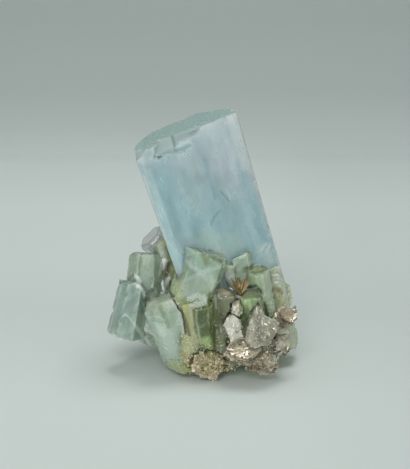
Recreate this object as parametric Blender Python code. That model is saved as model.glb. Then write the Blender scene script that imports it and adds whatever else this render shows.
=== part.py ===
"""An aquamarine crystal standing in a cluster of small green beryl crystals with mica books.

One tall blue prism leans out of a knot of smaller, intergrown green beryls. Books of silvery mica, a crust of
albite grains and a spray of rusty blades sit in pockets of the cluster, and one small clear beryl leans out at
its left. The specimen rests on a small flat under the cluster.

+X is to the right, +Y away from the front, +Z up. The sizes in the tables are millimetres. A crystal's own axes
are right, back and along the crystal, with its front side turned as near to the front as it can be.
"""

import math
import random

import bmesh
import bpy
from mathutils import Matrix, Vector

MM = 0.001
FRONT = Vector((0.0, -1.0, 0.0))

# The air left between two pieces that touch.
GAP = 0.3
# The middle of the specimen's box on the ground, in the tables' axes.
ORIGIN = Vector((-0.2, -0.4, 0.0))

# The tall prism: the middle of its foot and of its flat end, and how far each of its six faces lies from that
# line, counted anticlockwise from the broad front face, which is turned TALL_ROLL degrees to the right.
TALL_FOOT = Vector((9.1, 2.8, 11.1))
TALL_TIP = Vector((-4.4, 1.0, 54.4))
TALL_FACES = (8.6, 11.6, 11.5, 7.1, 11.0, 18.1)
TALL_ROLL = 29.5
TALL_FOOT_SCALE = 0.92

# A cut across a crystal's end: how far its normal leans from the crystal, the direction it leans to (0 right,
# 90 back, 180 left, 270 front) and how far out from the middle it crosses the level of the end.
TALL_ENDS = (
    (22, 162, 8.6),
    (39, 208, 14.4),
    (68, 12, 10.6),
    (20, 50, 9.5),
)
# The chips out of the tall prism's front top edge, in the same form. The upper one is a slope between a steep
# left wall and a right end. The lower one is a shallow notch under its lip: overhang, ledge and right end.
TALL_CHIPS = (
    ((154.7, 103.6, -6.6), (77.7, 169.4, 3.9), (125.1, 348.8, 4.5)),
    ((54.2, 117.0, -10.7), (137.5, 134.2, -2.5), (141.6, 85.1, -5.8)),
)

# Small beryls grown into one another: name, foot, tip, width across, thickness, roll in degrees, the foot's
# width as a share of the tip's, and the cuts across the end.
SMALL_BERYLS = (
    ("sliver_left", (-4.0, 2.0, 12.0), (-9.6, 1.0, 28.9), 5.0, 4.4, 8, 1.2,
     ((30, 180, 0.5), (12, 90, 0))),
    ("stub_left", (-14.4, -0.6, 7.6), (-13.0, -1.3, 26.9), 6.4, 6.5, 4, 1.3,
     ((14, 90, -3), (42, 180, 2), (38, 0, 1.5))),
    ("block_left", (-17.7, -5.2, 8.2), (-15.2, -4.5, 21.2), 6.2, 7.0, 0, 1.2,
     ((15, 90, -3), (40, 0, 0.5))),
    ("tooth_front", (-5.2, -7.6, 3.4), (-9.2, -13.1, 19.6), 8.4, 7.0, 10, 0.85,
     ((20, 90, -2), (38, 180, 1.5), (40, 0, 2))),
    ("mint_centre", (-5.2, -9.5, 11.5), (0.6, -10.8, 29.5), 9.0, 6.5, 8, 1.05, ((8, 90, -3.2), (50, 0, 4))),
    ("mint_side", (5.8, -5.0, 12.0), (4.9, -6.4, 25.9), 4.6, 4.2, 0, 1.15, ((14, 0, -2),)),
    ("peak_right", (9.6, -6.0, 14.0), (7.4, -5.3, 27.7), 5.0, 4.4, 0, 1.2,
     ((16, 180, -2.4), (20, 90, 0))),
    ("lens_right", (13.2, -6.8, 11.0), (11.4, -8.0, 24.6), 4.4, 4.2, 0, 1.15, ((16, 270, -2),)),
    ("rib_right", (17.8, -1.4, 8.0), (14.9, -1.3, 23.2), 3.6, 3.6, 0, 1.3, ((14, 90, -1),)),
    ("dark_cap", (10.6, -9.0, 3.0), (9.7, -13.1, 20.3), 4.9, 4.6, 0, 1.2, ((6, 270, 2), (35, 0, 1.5))),
    ("grey_cap", (4.6, -9.0, 3.0), (4.3, -13.1, 20.6), 5.0, 4.4, 12, 1.1, ((8, 270, 2), (40, 180, 1.5))),
    ("green_wall", (0.0, -9.0, 3.0), (-0.7, -13.0, 18.2), 4.8, 4.4, 0, 1.15, ((5, 270, 0),)),
    ("yellow_wall", (-4.0, -9.0, 2.0), (-4.2, -12.4, 18.6), 4.4, 4.2, 10, 1.2, ((10, 180, 0),)),
    ("shoulder_right", (10.0, 3.0, 3.4), (20.0, 0.0, 6.8), 7.0, 7.6, 10, 1.0, ((30, 0, 3),)),
    ("back_left", (-1.0, 6.0, 3.0), (-7.0, 13.5, 18.0), 7.0, 6.5, 12, 1.1, ((12, 200, 0), (35, 100, 2))),
    ("back_middle", (4.0, 6.0, 3.0), (3.0, 14.8, 17.0), 8.0, 7.0, 0, 1.1, ((18, 60, 0),)),
    ("back_right", (10.5, 5.0, 3.0), (12.8, 12.6, 19.0), 6.2, 6.0, 20, 1.15, ((10, 300, 0), (40, 30, 2))),
    ("back_stub", (-3.0, 8.0, 2.0), (-2.0, 16.4, 9.5), 5.0, 4.6, 25, 1.2, ((25, 120, 0),)),
    ("side_left", (-3.0, 4.0, 5.0), (-14.0, 6.5, 14.0), 6.4, 5.8, 5, 1.1, ((20, 90, 0),)),
    ("side_low", (-3.0, 2.0, 2.0), (-12.4, 9.4, 7.4), 5.2, 4.8, 15, 1.15, ((15, 200, 0),)),
    ("side_right", (11.0, 3.0, 4.0), (16.9, 8.0, 14.8), 5.4, 5.2, 15, 1.2, ((12, 30, 0),)),
    ("side_foot", (9.0, 5.0, 2.0), (16.8, 11.4, 7.6), 5.4, 5.0, 10, 1.2, ((30, 60, 1),)),
    ("right_wall", (14.6, 3.0, 3.0), (15.8, 4.0, 16.2), 6.2, 6.0, 12, 1.1, ((14, 60, 0), (40, 350, 2))),
)

# The small clear beryl, in the same form.
CLEAR_BERYL = ("clear_beryl", (-5.8, 10.2, 20.6), (-12.6, 8.2, 27.6), 6.6, 6.2, 8, 1.0, ())

# Lumps of the cluster's root: middle and half sizes.
ROOT_LUMPS = (
    ((3.0, -0.8, 6.2), (9.8, 9.8, 7.8)),
    ((-3.6, -6.0, 5.4), (6.5, 5.6, 6.2)),
    ((11.0, 1.6, 6.4), (8.4, 8.6, 8.4)),
    ((-8.0, -1.0, 10.4), (7.5, 6.0, 6.4)),
    ((-0.6, -6.8, 9.4), (5.4, 4.6, 4.8)),
)

# The outlines of the two broad mica sheets that face the front.
BROAD_SHEET = ((-0.7, 4.9), (-3.2, -0.2), (-3.8, -2.8), (-2.1, -4.6), (1.6, -4.0), (4.2, 0.3), (0.6, 2.6))
BRIGHT_SHEET = ((-0.4, 3.0), (-1.6, 2.3), (-2.4, 0.7), (-1.2, -1.4), (-0.2, -3.2), (2.5, -2.0), (1.1, 2.0))
# Mica books: middle, the way the sheets face as degrees to the right of the front and degrees up, thickness,
# number of sheets, and either an outline or a half width, half height and number of corners.
MICA_BOOKS = (
    ((12.0, -15.2, 13.6), 8, 20, 2.6, 4, BROAD_SHEET),
    ((6.4, -15.3, 13.3), -22, 30, 2.2, 3, BRIGHT_SHEET),
    ((8.4, -14.4, 7.4), -6, 72, 4.4, 6, (4.8, 3.2, 7)),
    ((12.4, -13.0, 4.4), 12, 66, 4.0, 5, (4.2, 2.8, 6)),
    ((16.0, -11.4, 8.8), 42, 10, 2.8, 4, (3.2, 3.8, 6)),
    ((17.6, -9.4, 13.8), 30, 48, 3.2, 4, (2.9, 2.4, 7)),
    ((6.8, -14.2, 17.4), -16, 20, 1.8, 2, (1.4, 2.1, 5)),
)
MICA_CORE = (((11.6, -12.0, 8.4), (5.4, 2.8, 6.4)), ((7.0, -13.2, 14.0), (1.8, 1.6, 4.0)))
SHEET_OVERLAP = 0.06

# Albite grains on the front foot of the cluster.
ALBITE_MIDDLE = Vector((0.6, -12.0, 3.7))
ALBITE_HALF = Vector((3.2, 1.6, 3.0))
ALBITE_GRAINS = 22
ALBITE_GRAIN_SIZE = (0.8, 1.3)

# The spray of rusty blades, standing between the small beryls.
RUST_ROOT = Vector((7.5, -12.0, 20.0))
RUST_BLADES = 7
RUST_BLADE = (0.9, 0.5, 3.9)
RUST_SPREAD = 30.0

# The side of the block that stands for the ground, whose top is the level the specimen rests on.
GROUND_SIZE = 80.0


def axes_along(axis):
    """A turn that lays local Z along axis and local -Y as near the front as it can be."""
    up = axis.normalized()
    front = (FRONT - up * FRONT.dot(up)).normalized()
    right = up.cross(front)
    return Matrix((right, -front, up)).transposed()


def direction(lean, around):
    """A unit vector that leans from local Z towards the direction around it, both in degrees."""
    a, b = math.radians(lean), math.radians(around)
    return Vector((math.sin(a) * math.cos(b), math.sin(a) * math.sin(b), math.cos(a)))


def slice_off(bm, point, normal):
    """Cuts away what lies beyond the plane and closes the cut with one flat face."""
    everything = bm.verts[:] + bm.edges[:] + bm.faces[:]
    cut = bmesh.ops.bisect_plane(bm, geom=everything, plane_co=point, plane_no=normal, clear_outer=True)
    rim = [e for e in cut["geom_cut"] if isinstance(e, bmesh.types.BMEdge)]
    if rim:
        bmesh.ops.edgeloop_fill(bm, edges=rim)


def slice_end(bm, cut, top):
    """Makes one cut of an end, given as lean, direction and reach, with the end's level at the height top."""
    lean, around, reach = cut
    slice_off(bm, direction(90.0, around) * reach + Vector((0.0, 0.0, top)), direction(lean, around))


def prism(foot, tip, faces, roll, foot_scale, ends=(), grow=0.0):
    """A six-sided prism, its faces at their own distances from the line between foot and tip."""
    axis = tip - foot
    length = axis.length
    reach = 4.0 * max(faces)
    bm = bmesh.new()
    depth = length + 2.0 * grow
    bmesh.ops.create_cone(bm, cap_ends=True, segments=12, radius1=reach, radius2=reach, depth=depth)
    bmesh.ops.translate(bm, verts=bm.verts, vec=Vector((0.0, 0.0, length / 2.0)))
    for k, distance in enumerate(faces):
        normal = direction(90.0, roll - 90.0 + 60.0 * k)
        slice_off(bm, normal * (distance + grow), normal)
    for v in bm.verts:
        scale = foot_scale + (1.0 - foot_scale) * v.co.z / length
        v.co.x *= scale
        v.co.y *= scale
    for cut in ends:
        slice_end(bm, cut, length + grow)
    bm.transform(Matrix.Translation(foot) @ axes_along(axis).to_4x4())
    return bm


def small_prism(entry, grow=0.0):
    """One small beryl of the tables, thick from front to back and wide across its other flats."""
    name, foot, tip, width, thick, roll, foot_scale, ends = entry
    a, b = thick / 2.0, width / 2.0
    return prism(Vector(foot), Vector(tip), (a, b, b, a, b, b), roll, foot_scale, ends, grow)


def chip(cuts):
    """One chip that is missing from the tall prism's front top edge."""
    length = (TALL_TIP - TALL_FOOT).length
    bm = bmesh.new()
    bmesh.ops.create_cube(bm, size=60.0)
    bmesh.ops.translate(bm, verts=bm.verts, vec=Vector((0.0, 0.0, length)))
    for cut in cuts:
        slice_end(bm, cut, length)
    bm.transform(Matrix.Translation(TALL_FOOT) @ axes_along(TALL_TIP - TALL_FOOT).to_4x4())
    return bm


def lump(middle, half, seed, faces=16):
    """A rough block with flat broken faces."""
    rng = random.Random(seed)
    bm = bmesh.new()
    bmesh.ops.create_icosphere(bm, subdivisions=2, radius=1.7)
    for k in range(faces):
        around = 137.5 * k + rng.uniform(-20.0, 20.0)
        lean = math.degrees(math.acos(1.0 - 2.0 * (k + 0.5) / faces))
        normal = direction(lean, around)
        slice_off(bm, normal * rng.uniform(0.84, 1.0), normal)
    bm.transform(Matrix.Translation(middle) @ Matrix.Diagonal((*half, 1.0)))
    return bm


def uneven_outline(wide, high, corners, rng):
    """The corners of a mica sheet, a little uneven, anticlockwise."""
    start = rng.uniform(0.0, math.tau)
    points = []
    for k in range(corners):
        angle = start + (k + rng.uniform(-0.22, 0.22)) * math.tau / corners
        share = rng.uniform(0.86, 1.0)
        points.append((wide * share * math.cos(angle), high * share * math.sin(angle)))
    return points


def slab(points, low, top):
    """A flat slab over an outline, from the level low to the level top."""
    bm = bmesh.new()
    face = bm.faces.new([bm.verts.new((x, y, low)) for x, y in points])
    lifted = bmesh.ops.extrude_face_region(bm, geom=[face])
    raised = [v for v in lifted["geom"] if isinstance(v, bmesh.types.BMVert)]
    bmesh.ops.translate(bm, verts=raised, vec=Vector((0.0, 0.0, top - low)))
    return bm


def book_place(middle, yaw, pitch):
    """Lays local Z, across the sheets, yaw degrees right of the front and pitch degrees up."""
    a, b = math.radians(yaw), math.radians(pitch)
    face = Vector((math.sin(a) * math.cos(b), -math.cos(a) * math.cos(b), math.sin(b)))
    across = Vector((math.cos(a), math.sin(a), 0.0))
    return Matrix.Translation(middle) @ Matrix((across, face.cross(across), face)).transposed().to_4x4()


def book_outline(shape, seed):
    """A book's widest outline."""
    if len(shape) > 3:
        return list(shape)
    return uneven_outline(*shape, random.Random(seed))


def book_sheets(number, book):
    """The sheets of one book, each a little smaller or larger than the next, with stepped edges."""
    middle, yaw, pitch, thick, sheets, shape = book
    points = book_outline(shape, number)
    rng = random.Random(100 + number)
    solids = []
    for k in range(sheets):
        share = rng.uniform(0.8, 0.97) if k + 1 < sheets else 0.99
        low = -thick / 2.0 + thick * k / sheets
        shift = rng.uniform(-0.2, 0.2)
        outline = [(x * share + shift, y * share - shift) for x, y in points]
        bm = slab(outline, low - SHEET_OVERLAP, low + thick / sheets)
        bm.transform(book_place(Vector(middle), yaw, pitch))
        solids.append(bm)
    return solids


def book_room(number, book):
    """The room a book takes up with the air round it."""
    middle, yaw, pitch, thick, sheets, shape = book
    points = book_outline(shape, number)
    reach = max(math.hypot(x, y) for x, y in points)
    share = 1.06 + 1.4 * GAP / reach
    outline = [(x * share, y * share) for x, y in points]
    bm = slab(outline, -thick / 2.0 - SHEET_OVERLAP - GAP, thick / 2.0 + GAP)
    bm.transform(book_place(Vector(middle), yaw, pitch))
    return bm


def grown(half):
    """Half sizes with the air round them."""
    return tuple(h + 1.3 * GAP for h in half)


def albite():
    """The crust: one low lump under many small grains."""
    rng = random.Random(41)
    solids = [lump(ALBITE_MIDDLE, ALBITE_HALF * 0.86, 7)]
    for k in range(ALBITE_GRAINS):
        out = direction(math.degrees(math.acos(1.0 - 2.0 * (k + 0.5) / ALBITE_GRAINS)), 137.5 * k)
        place = ALBITE_MIDDLE + Vector([o * h * 0.8 for o, h in zip(out, ALBITE_HALF)])
        size = rng.uniform(*ALBITE_GRAIN_SIZE)
        solids.append(lump(place, (size, size * 0.8, size * 0.9), 50 + k, 8))
    return solids


def rust(grow=0.0):
    """Flat blades that fan out from one root."""
    rng = random.Random(5)
    wide, thick, length = RUST_BLADE
    solids = []
    for k in range(RUST_BLADES):
        fan = RUST_SPREAD * (2.0 * k / (RUST_BLADES - 1) - 1.0) + rng.uniform(-4.0, 4.0)
        tip = length * rng.uniform(0.72, 1.0)
        nod = rng.uniform(-16.0, 16.0)
        bevel = direction(rng.uniform(30.0, 50.0), rng.choice((0.0, 180.0)))
        bm = bmesh.new()
        bmesh.ops.create_cube(bm, size=1.0)
        bmesh.ops.scale(bm, verts=bm.verts, vec=Vector((wide + 2 * grow, thick + 2 * grow, tip + 2 * grow)))
        bmesh.ops.translate(bm, verts=bm.verts, vec=Vector((0.0, 0.0, tip / 2.0)))
        slice_off(bm, Vector((0.0, 0.0, tip * 0.9)) + bevel * grow, bevel)
        lean = Matrix.Rotation(math.radians(fan), 4, "Y") @ Matrix.Rotation(math.radians(nod), 4, "X")
        bm.transform(Matrix.Translation(RUST_ROOT) @ lean)
        solids.append(bm)
    return solids


def as_object(bm, name, collection):
    """The solid, drawn in millimetres, as an object in metres."""
    bm.transform(Matrix.Scale(MM, 4) @ Matrix.Translation(-ORIGIN))
    bmesh.ops.recalc_face_normals(bm, faces=bm.faces[:])
    mesh = bpy.data.meshes.new(name)
    bm.to_mesh(mesh)
    bm.free()
    obj = bpy.data.objects.new(name, mesh)
    collection.objects.link(obj)
    return obj


def hidden_group(name, solids, tools):
    """A collection of solids that only serve another piece's Booleans."""
    group = bpy.data.collections.new(name)
    tools.children.link(group)
    for k, bm in enumerate(solids):
        obj = as_object(bm, "%s_%02d" % (name, k), group)
        obj.hide_render = True
        obj.display_type = "WIRE"
    return group


def combine(obj, group, operation):
    """Joins a group of solids to a piece, or cuts it out of the piece."""
    mod = obj.modifiers.new(group.name, "BOOLEAN")
    mod.operation = operation
    mod.operand_type = "COLLECTION"
    mod.collection = group
    mod.solver = "EXACT"


def piece(name, solids, specimen, tools, material):
    """One grown-together piece of the specimen."""
    obj = as_object(solids[0], name, specimen)
    obj.data.materials.append(material)
    if solids[1:]:
        combine(obj, hidden_group(name + "_parts", solids[1:], tools), "UNION")
    return obj


def plain_material(name, colour, roughness, metallic=0.0):
    """A plain working material."""
    material = bpy.data.materials.new(name)
    material.use_nodes = True
    shader = material.node_tree.nodes["Principled BSDF"]
    shader.inputs["Base Color"].default_value = (*colour, 1.0)
    shader.inputs["Roughness"].default_value = roughness
    shader.inputs["Metallic"].default_value = metallic
    return material


def ground():
    """Everything under the flat that the specimen rests on."""
    bm = bmesh.new()
    bmesh.ops.create_cube(bm, size=GROUND_SIZE)
    bmesh.ops.translate(bm, verts=bm.verts, vec=Vector((0.0, 0.0, -GROUND_SIZE / 2.0)))
    return bm


def tall_prism(grow=0.0):
    """The tall aquamarine before it is chipped, or its room with the air round it."""
    ends = () if grow else TALL_ENDS
    return prism(TALL_FOOT, TALL_TIP, TALL_FACES, TALL_ROLL, TALL_FOOT_SCALE, ends, grow)


def main():
    for obj in list(bpy.data.objects):
        bpy.data.objects.remove(obj)
    specimen = bpy.data.collections.new("aquamarine_specimen")
    tools = bpy.data.collections.new("cutters")
    bpy.context.scene.collection.children.link(specimen)
    bpy.context.scene.collection.children.link(tools)
    blue = plain_material("aquamarine", (0.42, 0.62, 0.66), 0.15)
    green = plain_material("green_beryl", (0.40, 0.50, 0.34), 0.2)
    clear = plain_material("clear_beryl", (0.80, 0.84, 0.82), 0.1)
    silver = plain_material("mica", (0.45, 0.43, 0.36), 0.3)
    cream = plain_material("albite", (0.45, 0.42, 0.32), 0.6)
    brown = plain_material("rusty_mica", (0.30, 0.18, 0.06), 0.6)

    below = hidden_group("below", [ground()], tools)
    tall = piece("aquamarine_crystal", [tall_prism()], specimen, tools, blue)
    combine(tall, hidden_group("chips", [chip(cuts) for cuts in TALL_CHIPS], tools), "DIFFERENCE")
    piece("clear_crystal", [small_prism(CLEAR_BERYL)], specimen, tools, clear)

    sheets = [solid for number, book in enumerate(MICA_BOOKS) for solid in book_sheets(number, book)]
    cores = [lump(Vector(middle), half, 30 + k) for k, (middle, half) in enumerate(MICA_CORE)]
    mica = piece("mica_books", cores + sheets, specimen, tools, silver)
    combine(mica, below, "DIFFERENCE")
    crust = piece("albite_crust", albite(), specimen, tools, cream)
    combine(crust, below, "DIFFERENCE")
    spray = piece("rusty_spray", rust(), specimen, tools, brown)

    beryls = [small_prism(entry) for entry in SMALL_BERYLS]
    lumps = [lump(Vector(middle), half, 10 + k) for k, (middle, half) in enumerate(ROOT_LUMPS)]
    cluster = piece("green_beryl_cluster", lumps + beryls, specimen, tools, green)
    rooms = [tall_prism(GAP), small_prism(CLEAR_BERYL, GAP)]
    rooms += [book_room(number, book) for number, book in enumerate(MICA_BOOKS)]
    rooms += [lump(Vector(middle), grown(half), 30 + k) for k, (middle, half) in enumerate(MICA_CORE)]
    rooms += [lump(ALBITE_MIDDLE, grown(ALBITE_HALF * 1.3), 7)]
    rooms += rust(GAP)
    combine(cluster, hidden_group("rooms", rooms, tools), "DIFFERENCE")
    combine(cluster, below, "DIFFERENCE")


main()
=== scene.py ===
"""The looks of the aquamarine specimen: finished pieces, materials, studio light and camera.

Lengths in the tables are millimetres in the specimen's own axes: +X right, +Y away from the front, +Z up.
A mark on the front is drawn in the front plane, which faces a viewer 14 degrees above the ground: how far it
lies to the right and how far up that plane.
"""

import math
import random
from collections import namedtuple
from functools import partial

import bmesh
import bpy
from mathutils import Matrix, Vector, noise
from mathutils.bvhtree import BVHTree
from mathutils.kdtree import KDTree


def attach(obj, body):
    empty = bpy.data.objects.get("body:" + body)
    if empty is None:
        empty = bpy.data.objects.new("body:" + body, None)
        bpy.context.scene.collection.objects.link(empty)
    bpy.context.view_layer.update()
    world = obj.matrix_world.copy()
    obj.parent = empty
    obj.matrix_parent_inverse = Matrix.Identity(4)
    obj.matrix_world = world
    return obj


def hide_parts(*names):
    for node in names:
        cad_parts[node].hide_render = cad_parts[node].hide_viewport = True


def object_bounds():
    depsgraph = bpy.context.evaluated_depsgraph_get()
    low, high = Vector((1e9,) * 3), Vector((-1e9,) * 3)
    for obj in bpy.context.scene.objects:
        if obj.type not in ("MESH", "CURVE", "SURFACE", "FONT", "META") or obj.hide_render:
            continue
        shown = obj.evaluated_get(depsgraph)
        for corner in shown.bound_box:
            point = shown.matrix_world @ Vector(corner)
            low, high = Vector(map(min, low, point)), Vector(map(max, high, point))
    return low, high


MM = 0.001
# The middle of the specimen's box on the ground, in the axes of the tables.
ORIGIN = Vector((-0.2, -0.4, 0.0))
VIEW_RISE = math.radians(14.0)
FRONT_RIGHT = Vector((1.0, 0.0, 0.0))
FRONT_UP = Vector((0.0, math.sin(VIEW_RISE), math.cos(VIEW_RISE)))
FRONT_IN = Vector((0.0, math.cos(VIEW_RISE), -math.sin(VIEW_RISE)))
# A slanting line along which no two points of a mesh lie equally far.
SORTING_LINE = Vector((1.0, 0.37, 0.83))

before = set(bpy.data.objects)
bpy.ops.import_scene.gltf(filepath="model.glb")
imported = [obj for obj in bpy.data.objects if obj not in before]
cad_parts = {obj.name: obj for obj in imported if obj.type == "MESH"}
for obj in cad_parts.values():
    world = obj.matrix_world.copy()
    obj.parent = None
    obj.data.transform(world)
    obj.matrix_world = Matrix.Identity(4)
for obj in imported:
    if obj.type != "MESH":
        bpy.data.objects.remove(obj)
first_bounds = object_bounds()


# ---- colours and nodes

ATTRIBUTE = "ShaderNodeAttribute"
COORDS = "ShaderNodeTexCoord"
NOISE = "ShaderNodeTexNoise"
CELLS = "ShaderNodeTexVoronoi"
MATH = "ShaderNodeMath"
RANGE = "ShaderNodeMapRange"
MIX = "ShaderNodeMix"
RAMP = "ShaderNodeValToRGB"
VECTORS = "ShaderNodeVectorMath"
XYZ = "ShaderNodeCombineXYZ"
ADD = {"operation": "ADD"}
SUBTRACT = {"operation": "SUBTRACT"}
MULTIPLY = {"operation": "MULTIPLY"}
ABSOLUTE = {"operation": "ABSOLUTE"}
SCALE = {"operation": "SCALE"}
TINT = {"attribute_name": "tint"}
FROST = {"attribute_name": "frost"}
CALM = {"attribute_name": "calm"}
SHEET = {"attribute_name": "sheet"}
TONE = {"attribute_name": "tone"}
# Settings of a colour mix: one colour laid over another, or one darkened by another.
OVER = {"data_type": "RGBA", "blend_type": "MIX"}
DARKEN = {"data_type": "RGBA", "blend_type": "MULTIPLY"}


def linear(hex_colour):
    """A colour written as an sRGB hex value, as linear red, green, blue and alpha."""
    channels = [int(hex_colour[i : i + 2], 16) / 255.0 for i in (1, 3, 5)]
    made = [c / 12.92 if c <= 0.04045 else ((c + 0.055) / 1.055) ** 2.4 for c in channels]
    return (*made, 1.0)


def blend(a, b, share):
    """A colour or a place between a and b."""
    return tuple(p + (q - p) * share for p, q in zip(a, b))


def across(size):
    """The scale that makes the bumps of a pattern size millimetres across."""
    return 1.0 / (size * MM)


def first_output(node):
    """The first output of a node that is in use."""
    return next(s for s in node.outputs if s.enabled)


def add_node(tree, kind, settings, *in_order, **by_name):
    """Adds a node. Its settings are its own options and its inputs are given in order or by name.

    An input is a value, a socket that it links to, or a node whose first output it links to.
    """
    node = tree.nodes.new(kind)
    for name, value in settings.items():
        setattr(node, name, value)
    sockets = [s for s in node.inputs if s.enabled]
    given = list(zip(sockets, in_order))
    for name, value in by_name.items():
        given.append((next(s for s in sockets if s.name == name.replace("_", " ")), value))
    for socket, value in given:
        if isinstance(value, bpy.types.Node):
            value = first_output(value)
        if isinstance(value, bpy.types.NodeSocket):
            tree.links.new(value, socket)
        else:
            socket.default_value = value
    return node


def set_stops(node, stops):
    """Gives a colour ramp its stops, each a place and a hex colour."""
    elements = node.color_ramp.elements
    while len(elements) < len(stops):
        elements.new(0.5)
    for element, (place, hex_colour) in zip(elements, stops):
        element.position = place
        element.color = linear(hex_colour)


def new_material(name, **constants):
    """A material, the way to add nodes to it and its Principled shader, whose constants are set by name."""
    material = bpy.data.materials.new(name)
    material.use_nodes = True
    tree = material.node_tree
    tree.nodes.clear()
    output = tree.nodes.new("ShaderNodeOutputMaterial")
    shader = tree.nodes.new("ShaderNodeBsdfPrincipled")
    tree.links.new(shader.outputs["BSDF"], output.inputs["Surface"])
    for key, value in constants.items():
        shader.inputs[key.replace("_", " ")].default_value = value
    return material, partial(add_node, tree), shader


def connect(shader, **sources):
    """Feeds inputs of a shader, named as in new_material, from nodes."""
    for key, source in sources.items():
        shader.id_data.links.new(first_output(source), shader.inputs[key.replace("_", " ")])


def absorb(add, hex_colour, density):
    """Colours the light that passes through a closed piece."""
    volume = add("ShaderNodeVolumeAbsorption", {}, Color=linear(hex_colour), Density=density)
    tree = volume.id_data
    tree.links.new(volume.outputs["Volume"], tree.get_output_node("ALL").inputs["Volume"])


# ---- materials

BERYL_IOR = 1.57


def healed_cracks(add, bent):
    """Thin curved lines where a smooth noise passes its middle value: 1 on a line and 0 off it."""
    off = add(MATH, ABSOLUTE, add(MATH, SUBTRACT, bent, 0.5))
    return add(RANGE, {}, Value=off, From_Max=0.012, To_Min=1.0, To_Max=0.0)


def inner_blocks(add, base, place, patchy):
    """Blocks between inner cracks, about 2 mm across, some darker than others, with pale lines between."""
    size = across(2.128)
    block = add(CELLS, {}, Vector=place, Scale=size)
    value = add("ShaderNodeSeparateColor", {}, block.outputs["Color"])
    shade = add(RANGE, {}, Value=value, To_Min=1.0 - patchy, To_Max=1.0 + patchy)
    base = add(MIX, DARKEN, 1.0, base, shade)
    meet = add(CELLS, {"feature": "DISTANCE_TO_EDGE"}, Vector=place, Scale=size)
    seam = add(RANGE, {}, Value=meet, From_Max=0.045, To_Min=1.0, To_Max=0.0)
    uneven = add(MATH, MULTIPLY, value, 2.0 * patchy)
    return add(MIX, OVER, add(MATH, MULTIPLY, seam, uneven), base, linear("#e8efe6"))


def growth_relief(add, place, crack, calm):
    """Fine roughness, cracks and growth layers: low steps with curved rims, about 0.05 mm high."""
    fine = add(NOISE, {}, Vector=place, Scale=across(0.6667), Detail=3.0, Roughness=0.6)
    layer = add(NOISE, {}, Vector=place, Scale=across(5.263), Detail=1.0)
    steps = add(MATH, MULTIPLY, layer, 7.0)
    flat = add(MATH, {"operation": "FLOOR"}, steps)
    rise = add(MATH, SUBTRACT, steps, flat)
    rim = add(RANGE, {"interpolation_type": "SMOOTHSTEP"}, Value=rise, From_Min=0.86)
    terrace = add(MATH, ADD, flat, rim)
    height = add(MATH, ADD, fine, add(MATH, MULTIPLY, crack, 0.5))
    height = add(MATH, ADD, height, add(MATH, MULTIPLY, terrace, 0.5))
    height = add(MATH, MULTIPLY, height, add(MATH, SUBTRACT, 1.0, calm))
    return add("ShaderNodeBump", {}, Height=height, Strength=0.3, Distance=0.00005)


def beryl_material(name, absorption, density, transmission, clouds, cloudy, patchy, turn, drawn_out, glow):
    """Beryl as it grew: glassy faces over a body clouded by fine healed cracks: light passes but no outline.

    clouds is the colour of the clouds and cloudy their share. patchy is how far the blocks between cracks
    differ. turn is the crystal's own turn and drawn_out how much the patterns are drawn out along it. glow
    is how far light spreads inside, in red, green and blue metres.
    """
    material, add, shader = new_material(
        name, IOR=BERYL_IOR, Coat_IOR=BERYL_IOR, Coat_Weight=0.4, Coat_Roughness=0.035,
        Subsurface_Weight=1.0, Subsurface_Radius=glow, Subsurface_Scale=1.0,
    )
    tint = add(ATTRIBUTE, TINT).outputs["Color"]
    frost = add(ATTRIBUTE, FROST).outputs["Fac"]
    calm = add(ATTRIBUTE, CALM).outputs["Fac"]
    coords = add(COORDS, {}).outputs["Object"]
    own = add("ShaderNodeMapping", {}, Vector=coords, Rotation=turn)
    drawn = add("ShaderNodeMapping", {}, Vector=own, Scale=(1.0, 1.0, 1.0 / drawn_out))
    # Clouds 6 mm across, thickest where the tint is pale.
    cloud = add(NOISE, {}, Vector=drawn, Scale=across(5.882), Detail=5.0, Roughness=0.62)
    pale = add("ShaderNodeRGBToBW", {}, tint)
    milky = add(MATH, MULTIPLY, cloud, add(MATH, MULTIPLY, pale, cloudy))
    base = add(MIX, OVER, milky, tint, linear(clouds))
    # Healed cracks about 5 mm apart, which also bend the blocks.
    bent = add(NOISE, {}, Vector=coords, Scale=across(4.762), Detail=2.0, Distortion=1.6)
    crack = healed_cracks(add, bent)
    wavy = add(MIX, OVER, 0.0016, drawn, bent.outputs["Color"])
    base = inner_blocks(add, base, wavy, patchy)
    base = add(MIX, OVER, add(MATH, MULTIPLY, crack, 0.16), base, linear("#dfe8e2"))
    # Mottling 1.2 mm across, then white frost: on worn edges it is partly painted edge highlight, and it
    # also carries the painted glints of the marks. Where the crystal is calm its own tint shows.
    speck = add(NOISE, {}, Vector=coords, Scale=across(1.176), Detail=3.0, Roughness=0.6)
    fine = add(RANGE, {}, Value=speck, To_Min=0.9, To_Max=1.08)
    base = add(MIX, DARKEN, 1.0, base, fine)
    base = add(MIX, OVER, frost, base, linear("#e4ebe7"))
    base = add(MIX, OVER, add(MATH, MULTIPLY, calm, 0.75), base, tint)
    # Light passes between the clouds and less through frost.
    clear = add(RANGE, {}, Value=frost, To_Min=transmission, To_Max=0.05)
    window = add(RANGE, {}, Value=cloud, From_Min=0.35, From_Max=0.65, To_Min=1.3, To_Max=0.6)
    seen = add(MATH, MULTIPLY, clear, add(MIX, {}, calm, window, 1.0))
    haze = add(RANGE, {}, Value=cloud, To_Min=0.06, To_Max=0.46)
    bump = growth_relief(add, drawn, crack, calm)
    connect(shader, Base_Color=base, Transmission_Weight=seen, Roughness=haze)
    connect(shader, Normal=bump, Coat_Normal=bump)
    absorb(add, absorption, density)
    return material


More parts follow.
